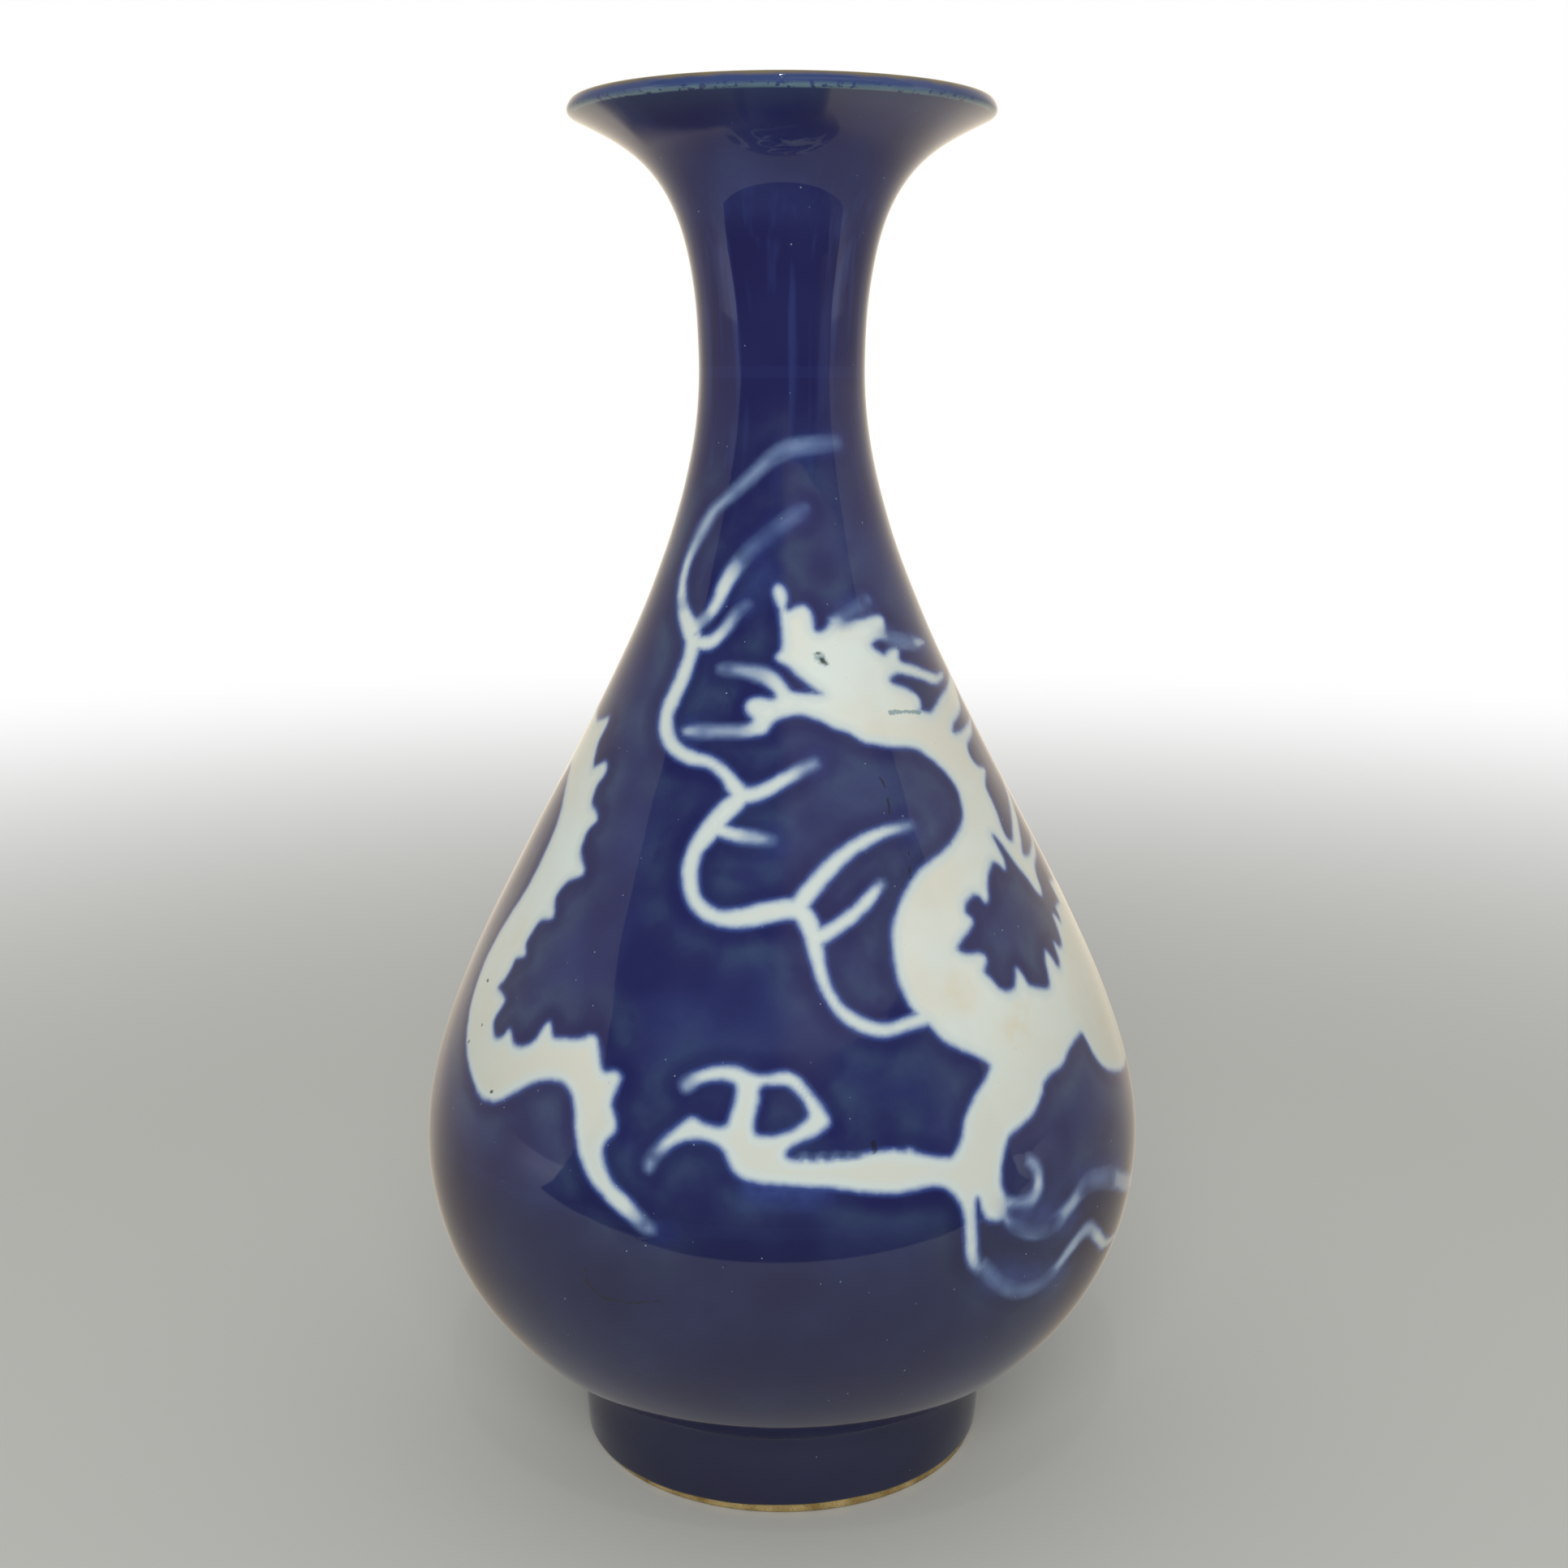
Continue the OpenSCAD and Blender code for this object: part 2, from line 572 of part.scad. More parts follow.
tail_line = [
    [-88, 159.6], [-80, 160], [-75, 157.6], [-71, 155], [-68, 152.4], [-65.8, 149], [-64.9, 144],
    [-65, 139], [-66, 134], [-68, 129], [-69.6, 124], [-70.2, 119], [-69.8, 114], [-68.2, 109.5],
    [-65.4, 105], [-62, 101.6], [-58, 98.6], [-54, 96.4], [-50, 96.9], [-46.6, 99.4], [-43, 102.6],
    [-39.6, 104.6], [-36.2, 105], [-34, 103.6], [-32.6, 100.4], [-31.6, 96], [-30, 91.4], [-27.6, 87.6],
    [-24.6, 84.7], [-21.4, 82], [-19, 80.2], [-18.2, 80.8], [-19.8, 83], [-22.2, 85.9], [-24.6, 88.2],
    [-26, 90.6], [-27, 93.6], [-26.6, 96], [-25.3, 98.2], [-25.5, 100.2], [-26.5, 102.6],
    [-26.2, 105.4], [-25.8, 107.6], [-26.8, 108.8], [-29, 108.4], [-30.2, 110.4], [-31.4, 113.4],
    [-32.6, 114.2], [-34.6, 113], [-38, 112.4], [-40.4, 112], [-42, 114.4], [-43, 113.2], [-44, 110.6],
    [-46.4, 108.6], [-49, 108.2], [-51.4, 110.4], [-52.6, 108.6], [-55, 107.8], [-57.2, 110.4],
    [-56.6, 113], [-56, 115.2], [-58, 115.9], [-60, 116.6], [-58.6, 118.6], [-57.8, 121.6],
    [-57.6, 123.4], [-55, 124.6], [-56.4, 126.6], [-55.6, 129.6], [-54.4, 132], [-51, 133.2],
    [-52.6, 136], [-52.6, 138], [-50.6, 140.6], [-46.8, 142.4], [-48.6, 144.4], [-50.6, 146],
    [-51.4, 149], [-51, 150.8], [-49.4, 152.6], [-50.8, 154], [-54, 155.4], [-55.2, 158], [-54.8, 160],
    [-53.8, 162], [-55.6, 163.4], [-58.6, 162.4], [-60.4, 161.8], [-62.4, 163.6], [-64.6, 166.4],
    [-64.2, 169.6], [-65, 171.4], [-68.4, 171], [-74, 170], [-80, 170.8], [-88, 171]
];
module tail_stamp()
    intersection() {
        stamp(tail_facing) area(tail_line);
        sector(tail_from - 360, 0);
    }

// A hind leg reaches down from the body and ends in three claws
right_leg_line = [
    [108, 104, 7], [111, 94, 6.6], [117, 86, 5.4], [126, 81, 4.2], [135, 82, 3.4], [141, 84, 2.8]
];
right_claws = [
    [[139, 83, 2], [145, 88, 1.4], [152, 90, 0.5]],
    [[139, 83, 2], [147, 83, 1.4], [154, 80, 0.5]],
    [[139, 83, 2], [143, 77, 1.4], [148, 72, 0.5]]
];
left_leg_line = [
    [226, 106, 6.4], [224, 96, 6], [219, 88, 5], [211, 83, 4], [203, 84, 3.2], [197, 86, 2.6]
];
left_claws = [
    [[199, 85, 2], [193, 90, 1.4], [186, 92, 0.5]],
    [[199, 85, 2], [191, 85, 1.4], [184, 82, 0.5]],
    [[199, 85, 2], [195, 79, 1.4], [190, 74, 0.5]]
];
module leg_stamp(leg, claws, facing)
    stamp(facing) {
        ribbon(leg);
        for (claw = claws) ribbon(claw);
    }
module right_leg_stamp() leg_stamp(right_leg_line, right_claws, right_leg_facing);
module left_leg_stamp() leg_stamp(left_leg_line, left_claws, left_leg_facing);

// Flames trail from the shoulder, the elbow and the hind quarter
shoulder_lines = [
    [
        [-35.4, 190.6, 1.6], [-34.2, 187, 1.5], [-35, 182.5, 1.5], [-36.6, 178, 1.5], [-37.2, 174.8, 1.5],
        [-35.2, 171.2, 1.4], [-31, 168.5, 1.2], [-25, 167, 1], [-20, 166.6, 0.9], [-15.6, 164.8, 1],
        [-12.4, 162.4, 1.2], [-10.2, 160.2, 1.5], [-13.4, 157.6, 1.7], [-16.6, 154, 1.9],
        [-19.2, 150.4, 1.5], [-19.9, 147, 1.4], [-19, 143.4, 1.2], [-16.9, 140.2, 1.1],
        [-13, 138.2, 1.2], [-8, 138.2, 1.5], [-2, 139.6, 1.6], [3, 139.8, 1.5], [5.2, 137.2, 1.6],
        [6, 134, 1.3], [6.6, 130, 1], [7.6, 126, 0.9], [9.6, 122, 0.9], [12.8, 119.1, 1],
        [17, 117.6, 1], [21, 118.3, 0.9], [27, 119.6, 1.2]
    ],
    [[-10.6, 160.4, 1.3], [-6, 161, 1.2], [0, 163.4, 1], [5, 165.5, 0.7], [9, 166.6, 0.3]],
    [[-15.6, 154.4, 1.2], [-11, 153.3, 1], [-6, 152.8, 0.9], [-2, 152.4, 0.3]],
    [
        [2.4, 139.4, 1.4], [5.8, 143.4, 1.4], [9.8, 146.9, 1.3], [14.6, 150, 1.1], [20.2, 152.2, 0.9],
        [26, 153.3, 0.7], [31, 153.7, 0.3]
    ],
    [[6.4, 134.6, 1.2], [10.4, 136.5, 1], [14.5, 138.9, 1], [18.4, 141.8, 0.9], [21, 143.7, 0.4]]
];
tongue_lines = [
    [
        [36, 230, 0.3], [25, 229.8, 0.8], [12, 229.4, 1], [2, 228.6, 1], [-8, 226.5, 0.8],
        [-18, 223.2, 0.7], [-28, 219.8, 0.7], [-38, 216.4, 0.8], [-44.4, 212.2, 0.9], [-48.6, 208, 0.9],
        [-50.2, 204, 0.9], [-48.6, 199.4, 1], [-44.6, 195.8, 1.2], [-40, 193.2, 1.6], [-35.5, 190.5, 1.8]
    ],
    [
        [-37, 192.2, 1], [-31.6, 194.2, 0.9], [-27.8, 197.2, 1.1], [-25.6, 200.8, 1.3], [-22.4, 204, 1.4],
        [-18.8, 206.4, 1], [-14.6, 208.6, 0.7], [-8, 211, 0.6], [0, 213.5, 0.7], [8, 215.5, 0.7],
        [12, 216.6, 0.3]
    ],
    [
        [-33, 189.2, 1], [-27.4, 189.4, 1.1], [-23, 191.6, 0.9], [-19.8, 194.3, 0.7], [-17, 196.2, 0.4],
        [-14, 197.4, 0.2]
    ]
];
hind_lines = [
    [
        [124, 118, 1.4], [118, 130, 1.6], [117, 141, 1.8], [124, 151, 2], [134, 157, 1.8],
        [140, 166, 1.6], [136, 176, 1.4], [140, 188, 1.2], [152, 198, 1], [166, 204, 0.8],
        [180, 206, 0.3]
    ],
    [[134, 157, 1.2], [145, 159.5, 1], [157, 159, 0.3]],
    [[138, 172, 1.2], [128, 180, 1], [124, 190, 0.8], [130, 200, 0.3]],
    [[146, 194, 1], [160, 193, 0.8], [172, 190, 0.3]]
];
module ribbons(lines, facing) stamp(facing) for (line = lines) ribbon(line);
module shoulder_stamp() ribbons(shoulder_lines, shoulder_facing);
module tongues_stamp() ribbons(tongue_lines, tongue_facing);
module hind_stamp() ribbons(hind_lines, hind_facing);

module dragon_head() leaf() head_stamp();
module dragon_mane()
    leaf() {
        mane_stamp();
        head_stamp();
    }
module dragon_chest() leaf() chest_stamp();
module dragon_neck()
    leaf() {
        neck_stamp();
        head_stamp();
        mane_stamp();
    }
module dragon_foreleg()
    leaf() {
        foreleg_stamp();
        chest_stamp();
    }
module dragon_flank() leaf() flank_stamp();
module dragon_back() leaf() back_stamp();
module dragon_hip() leaf() hip_stamp();
module dragon_tail() leaf() tail_stamp();
module right_hind_leg()
    leaf() {
        right_leg_stamp();
        flank_stamp();
    }
module left_hind_leg()
    leaf() {
        left_leg_stamp();
        hip_stamp();
        back_stamp();
    }
module shoulder_flame()
    leaf() {
        shoulder_stamp();
        chest_stamp();
    }
module flame_tongues()
    leaf() {
        tongues_stamp();
        shoulder_stamp();
    }
module elbow_flame()
    leaf() {
        elbow_stamp();
        foreleg_stamp();
    }
module hind_flame()
    leaf() {
        hind_stamp();
        flank_stamp();
        back_stamp();
    }

module blue_glaze()
    color(blue)
        difference() {
            coat();
            head_stamp();
            mane_stamp();
            neck_stamp();
            chest_stamp();
            foreleg_stamp();
            elbow_stamp();
            flank_stamp();
            back_stamp();
            hip_stamp();
            tail_stamp();
            right_leg_stamp();
            left_leg_stamp();
            shoulder_stamp();
            tongues_stamp();
            hind_stamp();
        }

foot_ring();
foot_slip();
lower_body();
belly_slip();
upper_body();
neck_slip();
neck_and_mouth();
inner_glaze();
base_glaze();
blue_glaze();
dragon_head();
dragon_mane();
dragon_neck();
dragon_chest();
dragon_foreleg();
dragon_flank();
dragon_back();
dragon_hip();
dragon_tail();
right_hind_leg();
left_hind_leg();
shoulder_flame();
flame_tongues();
elbow_flame();
hind_flame();
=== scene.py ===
"""Pear-shaped bottle vase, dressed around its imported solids.

The blue coat, the white dragon, the clear lining and the bare foot ring are turned again as smooth
meshes. The dragon's edges bleed into the blue, as slip and cobalt do in the kiln.
"""

import logging
import math
from dataclasses import dataclass
from enum import Enum
from typing import Any

import bmesh
import bpy
import numpy as np
from mathutils.bvhtree import BVHTree
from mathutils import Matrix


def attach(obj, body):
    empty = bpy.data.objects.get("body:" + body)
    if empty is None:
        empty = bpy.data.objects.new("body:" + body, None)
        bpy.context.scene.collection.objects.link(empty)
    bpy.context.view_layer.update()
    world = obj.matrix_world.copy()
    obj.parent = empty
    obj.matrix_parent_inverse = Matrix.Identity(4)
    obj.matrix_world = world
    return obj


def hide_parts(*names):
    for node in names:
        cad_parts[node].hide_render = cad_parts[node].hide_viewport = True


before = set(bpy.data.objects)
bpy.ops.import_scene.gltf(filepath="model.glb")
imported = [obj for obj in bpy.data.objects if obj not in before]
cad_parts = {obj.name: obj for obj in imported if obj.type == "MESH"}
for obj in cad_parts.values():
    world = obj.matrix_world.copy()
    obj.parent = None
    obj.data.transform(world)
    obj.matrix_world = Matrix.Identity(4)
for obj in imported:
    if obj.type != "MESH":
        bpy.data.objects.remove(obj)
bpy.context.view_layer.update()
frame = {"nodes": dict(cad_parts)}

MM = 0.001
TINY = 1e-12
SAME_POINT = 1e-3
AT_CREST = 1e-4
LOG = logging.getLogger("bottle_vase")

ATTRIBUTE = "ShaderNodeAttribute"
BUMP = "ShaderNodeBump"
CELLS = "ShaderNodeTexVoronoi"
MATH = "ShaderNodeMath"
MIX = "ShaderNodeMix"
NOISE = "ShaderNodeTexNoise"
RANGE = "ShaderNodeMapRange"
VECTOR = "ShaderNodeVectorMath"
SMOOTH = "SMOOTHSTEP"

# A colour mix's sockets: how much lies above, the colour below, the colour above and the result.
SHARE, BELOW, ABOVE, MIXED = 0, 6, 7, 2
COLOURS = {"data_type": "RGBA"}


class Slot(Enum):
    """The record's material slots for the pieces that are made here; this script gives them to no piece.
    """

    CLAY = "clay"
    CLEAR = "clear_glaze"
    BLUE = "blue_glaze"
    WHITE = "white_slip"


class Trait(Enum):
    """Values that the meshes carry at their vertices for the finishes.

    SLIP is the depth inside the white slip and RIM the distance from the lip's crest, both in
    millimetres. FADE, HAZE and STAIN are shares.
    """

    SLIP = "slip"
    RIM = "rim"
    FADE = "fade"
    HAZE = "haze"
    STAIN = "stain"


class Flaw(Enum):
    """What a mark does to the glaze."""

    FADE = "the white runs thin"
    HAZE = "white runs into the blue"
    STAIN = "a cream stain in the white"
    VEIN = "a soft blue-green line or smudge in the white"
    CRACK = "a fine dark crack or pit"


LEAVES = (
    "dragon_head", "dragon_mane", "dragon_neck", "dragon_chest", "dragon_foreleg",
    "dragon_flank", "dragon_back", "dragon_hip", "dragon_tail", "right_hind_leg", "left_hind_leg",
    "shoulder_flame", "flame_tongues", "elbow_flame", "hind_flame",
)


def linear(code: str) -> tuple[float, float, float, float]:
    """Turns an sRGB hex code into a linear colour.

    Args:
        code: the colour, as "#rrggbb".

    Returns:
        Red, green, blue and full opacity, in linear light.
    """
    parts = [int(code[i:i + 2], 16) / 255 for i in (1, 3, 5)]
    flat = [c / 12.92 if c <= 0.04045 else ((c + 0.055) / 1.055) ** 2.4 for c in parts]
    return flat[0], flat[1], flat[2], 1.0


def per_mm(size: float) -> float:
    """Gives a texture's scale for a pattern of this size in millimetres."""
    return 1 / (size * MM)


def add(tree: Any, kind: str, inputs: dict[Any, Any] | None = None, out: Any = 0, **settings: Any) -> Any:
    """Adds a node with its settings and links.

    Args:
        tree: the tree that gets the node.
        kind: the node's type.
        inputs: what each input gets, by name or place: a value or another node's output.
        out: the output that is wanted, by name or place.
        settings: the node's own properties.

    Returns:
        The wanted output, or None from a node that has none.
    """
    node = tree.nodes.new(kind)
    for name, value in settings.items():
        setattr(node, name, value)
    for key, value in (inputs or {}).items():
        if isinstance(value, bpy.types.NodeSocket):
            tree.links.new(value, node.inputs[key])
        else:
            node.inputs[key].default_value = value
    return node.outputs[out] if len(node.outputs) else None


def bare_material(name: str) -> tuple[bpy.types.Material, Any]:
    """Starts a material with an empty tree.

    Args:
        name: the material's name.

    Returns:
        The material and its tree.
    """
    made = bpy.data.materials.new(name)
    made.use_nodes = True
    made.node_tree.nodes.clear()
    return made, made.node_tree


def new_tree(name: str, inputs: dict[str, str]) -> tuple[Any, Any]:
    """Starts a geometry tree with named inputs.

    Args:
        name: the tree's name.
        inputs: socket types by the names of the inputs after the geometry.

    Returns:
        The tree and the outputs of its input node.
    """
    tree = bpy.data.node_groups.new(name, "GeometryNodeTree")
    tree.interface.new_socket("Geometry", in_out="INPUT", socket_type="NodeSocketGeometry")
    for label, kind in inputs.items():
        tree.interface.new_socket(label, in_out="INPUT", socket_type=kind)
    tree.interface.new_socket("Geometry", in_out="OUTPUT", socket_type="NodeSocketGeometry")
    return tree, add(tree, "NodeGroupInput").node.outputs


def close_tree(tree: Any, shape: Any, material: Any) -> None:
    """Ends a geometry tree: makes its result real and gives it its material.

    Args:
        tree: the geometry tree.
        shape: the output that holds the result.
        material: the output that holds the material.
    """
    real = add(tree, "GeometryNodeRealizeInstances", {"Geometry": shape})
    dressed = add(tree, "GeometryNodeSetMaterial", {"Geometry": real, "Material": material})
    add(tree, "NodeGroupOutput", {0: dressed})


def run_tree(mesh: bpy.types.Mesh, tree: Any, values: dict[str, Any]) -> bpy.types.Mesh:
    """Runs a geometry tree on a mesh.

    Args:
        mesh: the mesh that the tree starts from, which is removed.
        tree: the geometry tree.
        values: its inputs by name.

    Returns:
        The tree's result as a plain mesh.
    """
    holder = bpy.data.objects.new(tree.name, mesh)
    bpy.context.scene.collection.objects.link(holder)
    modifier = holder.modifiers.new(tree.name, "NODES")
    modifier.node_group = tree
    for item in tree.interface.items_tree:
        if item.in_out == "INPUT" and item.name in values:
            modifier[item.identifier] = values[item.name]
    graph = bpy.context.evaluated_depsgraph_get()
    graph.update()
    made = bpy.data.meshes.new_from_object(
        holder.evaluated_get(graph), preserve_all_data_layers=True, depsgraph=graph
    )
    holder.modifiers.remove(modifier)
    bpy.data.objects.remove(holder)
    bpy.data.meshes.remove(mesh)
    return made


def read(mesh: bpy.types.Mesh, trait: Trait) -> np.ndarray:
    """Reads one of a mesh's own values.

    Args:
        mesh: the mesh.
        trait: which value.

    Returns:
        The value at each vertex, or zeros where the mesh has none.
    """
    values = np.zeros(len(mesh.vertices), np.float32)
    if trait.value in mesh.attributes:
        mesh.attributes[trait.value].data.foreach_get("value", values)
    return values


def write(mesh: bpy.types.Mesh, trait: Trait, values: np.ndarray) -> None:
    """Writes one of a mesh's own values at its vertices."""
    layer = mesh.attributes.get(trait.value) or mesh.attributes.new(trait.value, "FLOAT", "POINT")
    layer.data.foreach_set("value", np.ascontiguousarray(values, np.float32))


def points_of(mesh: bpy.types.Mesh) -> np.ndarray:
    """Reads a mesh's vertices.

    Args:
        mesh: the mesh.

    Returns:
        Their places in millimetres, as rows.
    """
    flat = np.zeros(len(mesh.vertices) * 3, np.float32)
    mesh.vertices.foreach_get("co", flat)
    return flat.reshape(-1, 3).astype(float) / MM


def run_of(line: np.ndarray) -> np.ndarray:
    """Gives each point's distance along a line from its start."""
    return np.concatenate([[0], np.cumsum(np.linalg.norm(np.diff(line, axis=0), axis=1))])


def even(line: np.ndarray, spacing: float) -> np.ndarray:
    """Spaces a line's points evenly.

    Args:
        line: points as rows.
        spacing: the wanted distance between points.

    Returns:
        Points along the line, with the same ends.
    """
    run = run_of(line)
    stops = np.linspace(0, run[-1], max(2, round(run[-1] / spacing) + 1))
    return np.stack([np.interp(stops, run, line[:, k]) for k in range(line.shape[1])], 1)


@dataclass(frozen=True)
class VaseForm:
    """The vase's sizes in millimetres and degrees, as its solids have them."""

    height: float = 300.0
    belly_r: float = 81.5
    belly_z: float = 74.0
    belly_round: float = 61.0
    shoulder_pull: float = 0.275
    neck_pull: float = 0.34
    waist_r: float = 18.0
    waist_z: float = 245.0
    mouth_r: float = 44.3
    flare_slope: float = 25.5
    flare_pull: float = 0.77
    mouth_pull: float = 0.3
    lip_swell: float = 1.6
    lip_square: float = 0.72
    belly_wall: float = 5.0
    neck_wall: float = 3.6
    lip_wall: float = 2.0
    foot_r: float = 46.4
    foot_swell: float = 0.4
    foot_fillet: float = 4.0
    foot_width: float = 7.5
    foot_chamfer: float = 0.6
    foot_wear: float = 0.3
    foot_bare: float = 1.9
    blue_t: float = 0.8
    clear_t: float = 0.4
    steps: int = 160
    foot_steps: int = 8
    row: float = 2.8
    flare_row: float = 2.2
    foot_row: float = 1.2
    fine_row: float = 0.45

    @property
    def arc_r(self) -> float:
        """Radius at which the belly's arc is centred."""
        return self.belly_r - self.belly_round

    @property
    def lip_z(self) -> float:
        """Finds where the flare ends under the lip.

        Returns:
            The height.
        """
        slope = math.radians(self.flare_slope)
        up = math.cos(slope) * (self.blue_t + self.lip_wall + self.clear_t) / 2
        return self.height - up - math.hypot(up, math.sin(slope) * self.lip_swell)

    def arc_z(self, r: float) -> float:
        """Height on the belly's arc at a radius."""
        return self.belly_z - math.sqrt(self.belly_round ** 2 - (r - self.arc_r) ** 2)

    def bezier(self, p: np.ndarray) -> np.ndarray:
        """Draws a curve of four points.

        Args:
            p: the points of radius and height, as rows.

        Returns:
            Rows of radius, height and direction along the curve.
        """
        t = np.linspace(0, 1, self.steps)[:, None]
        u = 1 - t
        at = p[0] * u ** 3 + 3 * p[1] * t * u ** 2 + 3 * p[2] * t * t * u + p[3] * t ** 3
        way = (p[1] - p[0]) * u ** 2 + 2 * (p[2] - p[1]) * t * u + (p[3] - p[2]) * t * t
        return np.column_stack([at, np.arctan2(way[:, 1], way[:, 0])])

    def surface(self) -> list[np.ndarray]:
        """Gives the glazed surface from the floor's middle to the lip.

        Returns:
            The bowl, the shoulder and the flare, each as rows of radius, height and direction.
        """
        a = np.linspace(0, math.pi / 2, self.steps)
        bowl = np.column_stack([
            self.arc_r + self.belly_round * np.sin(a), self.belly_z - self.belly_round * np.cos(a), a
        ])
        rise = self.waist_z - self.belly_z
        shoulder = self.bezier(np.array([
            [self.belly_r, self.belly_z], [self.belly_r, self.belly_z + self.shoulder_pull * rise],
            [self.waist_r, self.waist_z - self.neck_pull * rise], [self.waist_r, self.waist_z],
        ]))
        rise, slope = self.lip_z - self.waist_z, math.radians(self.flare_slope)
        end = np.array([self.mouth_r, self.lip_z])
        flare = self.bezier(np.array([
            [self.waist_r, self.waist_z], [self.waist_r, self.waist_z + self.flare_pull * rise],
            end - self.mouth_pull * rise * np.array([math.cos(slope), math.sin(slope)]), end,
        ]))
        return [bowl, shoulder, flare]

    def under(self, rows: np.ndarray, depth: np.ndarray | float) -> np.ndarray:
        """Goes in from the surface.

        Args:
            rows: radius, height and direction on the surface.
            depth: how deep, for all rows or for each.

        Returns:
            Points of radius and height.
        """
        return np.column_stack([
            rows[:, 0] - depth * np.sin(rows[:, 2]), rows[:, 1] + depth * np.cos(rows[:, 2])
        ])

    def inner_depth(self, z: np.ndarray) -> np.ndarray:
        """Measures from the outer glazed face to the hollow's.

        Args:
            z: heights on the outer face.

        Returns:
            The depth of the hollow's face at each.
        """
        wall = np.interp(
            z, [self.belly_z, self.waist_z, self.lip_z], [self.belly_wall, self.neck_wall, self.lip_wall]
        )
        return self.blue_t + wall + self.clear_t

    def lip(self) -> tuple[np.ndarray, np.ndarray]:
        """Gives the lip's edge, a little squarer than an ellipse, parted at its crest.

        Returns:
            The blue outer half and the clear inner half.
        """
        last = self.surface()[2][-1:]
        outer = self.under(last, 0)[0]
        inner = self.under(last, self.inner_depth(last[:, 1]))[0]
        half = (inner - outer) / 2
        way = np.array([half[1], -half[0]]) / np.linalg.norm(half)
        a = np.linspace(0, math.pi, self.steps)[:, None]
        across = np.sign(np.cos(a)) * np.abs(np.cos(a)) ** self.lip_square
        out = np.abs(np.sin(a)) ** self.lip_square
        edge = even((outer + inner) / 2 - half * across + way * self.lip_swell * out, self.fine_row)
        crest = int(np.argmax(edge[:, 1]))
        return edge[:crest + 1], edge[crest:]

    def foot_side(self) -> list[np.ndarray]:
        """Gives the coat's line over the foot.

        Returns:
            The bead at the glaze line, the side of the foot and the pool of glaze under the bowl.
        """
        a = np.linspace(0, math.pi / 2, self.steps)
        bead = np.column_stack([
            self.foot_r - self.blue_t * (1 - np.sin(a)), self.foot_bare + self.blue_t * (1 - np.cos(a))
        ])
        foot_z, pool_r = self.arc_z(self.foot_r), self.foot_r + self.foot_fillet
        low, high = self.foot_bare + self.blue_t, foot_z - self.foot_fillet
        t = np.linspace(0, 1, self.steps)
        side = np.column_stack([
            self.foot_r + self.foot_swell * np.sin(math.pi * t), low + (high - low) * t
        ])
        corner = np.array([self.foot_r, foot_z])
        pool = self.bezier(np.array([[self.foot_r, high], corner, corner, [pool_r, self.arc_z(pool_r)]]))
        spacings = ((bead, self.fine_row), (side, self.foot_row), (pool[:, :2], self.foot_row / 2))
        return [even(line, spacing) for line, spacing in spacings]

    def outer_rows(self) -> tuple[np.ndarray, np.ndarray]:
        """Gives the coat's outer profile, from the glaze line on the foot to the lip's crest.

        Returns:
            Points of radius and height, and each one's distance from the crest.
        """
        bowl, shoulder, flare = (rows[:, :2] for rows in self.surface())
        bowl = bowl[bowl[:, 0] > self.foot_r + self.foot_fillet]
        line = self.joined([
            *self.foot_side(), even(bowl, self.row), even(shoulder, self.row),
            even(flare, self.flare_row), self.lip()[0],
        ])
        run = run_of(line)
        return line, run[-1] - run

    def inner_rows(self) -> tuple[np.ndarray, np.ndarray]:
        """Gives the lining's profile, from the lip's crest to the middle of the floor.

        Returns:
            Points of radius and height, and each one's distance from the crest, below zero.
        """
        bowl, shoulder, flare = (self.under(p, self.inner_depth(p[:, 1]))[::-1] for p in self.surface())
        floor = np.array([[0.0, bowl[-1, 1]]])
        wall = np.concatenate([flare, shoulder, bowl, floor])
        line = self.joined([self.lip()[1], even(wall, self.row)])
        return line, -run_of(line)

    def foot_rows(self) -> np.ndarray:
        """Gives the foot ring's closed profile, with its lower edges worn round.

        Returns:
            Points of radius and height.
        """
        out, c = self.foot_r - self.blue_t, self.foot_chamfer
        inside, worn = out - self.foot_width, self.foot_wear * c
        base = np.array([
            [inside, c], [inside + worn, worn], [inside + c, 0], [out - c, 0], [out - worn, worn]
        ])
        top = np.array([[r, self.arc_z(r)] for r in np.linspace(out, inside, self.foot_steps)])
        side = even(np.array([[out, c], top[0]]), self.foot_row)
        back = even(np.array([top[-1], base[0]]), self.foot_row)
        return self.joined([base, side, top, back])

    @staticmethod
    def joined(parts: list[np.ndarray]) -> np.ndarray:
        """Joins stretches of a profile and drops the points that two of them share.

        Args:
            parts: the stretches, in order.

        Returns:
            One line of points.
        """
        line = np.concatenate(parts)
        apart = np.linalg.norm(np.diff(line, axis=0), axis=1) > SAME_POINT
        return line[np.concatenate([[True], apart])]


@dataclass(frozen=True)
class Mark:
    """A short stroke on the glaze, from one place to another, with its half width and strength.

    The places are angles in degrees from the front, positive to the right, and heights in millimetres.
    """

    angle: float
    height: float
    to_angle: float
    to_height: float
    reach: float
    amount: float


def spot(angle: float, height: float, reach: float, amount: float) -> Mark:
    """Gives a mark that is only a spot."""
    return Mark(angle, height, angle, height, reach, amount)


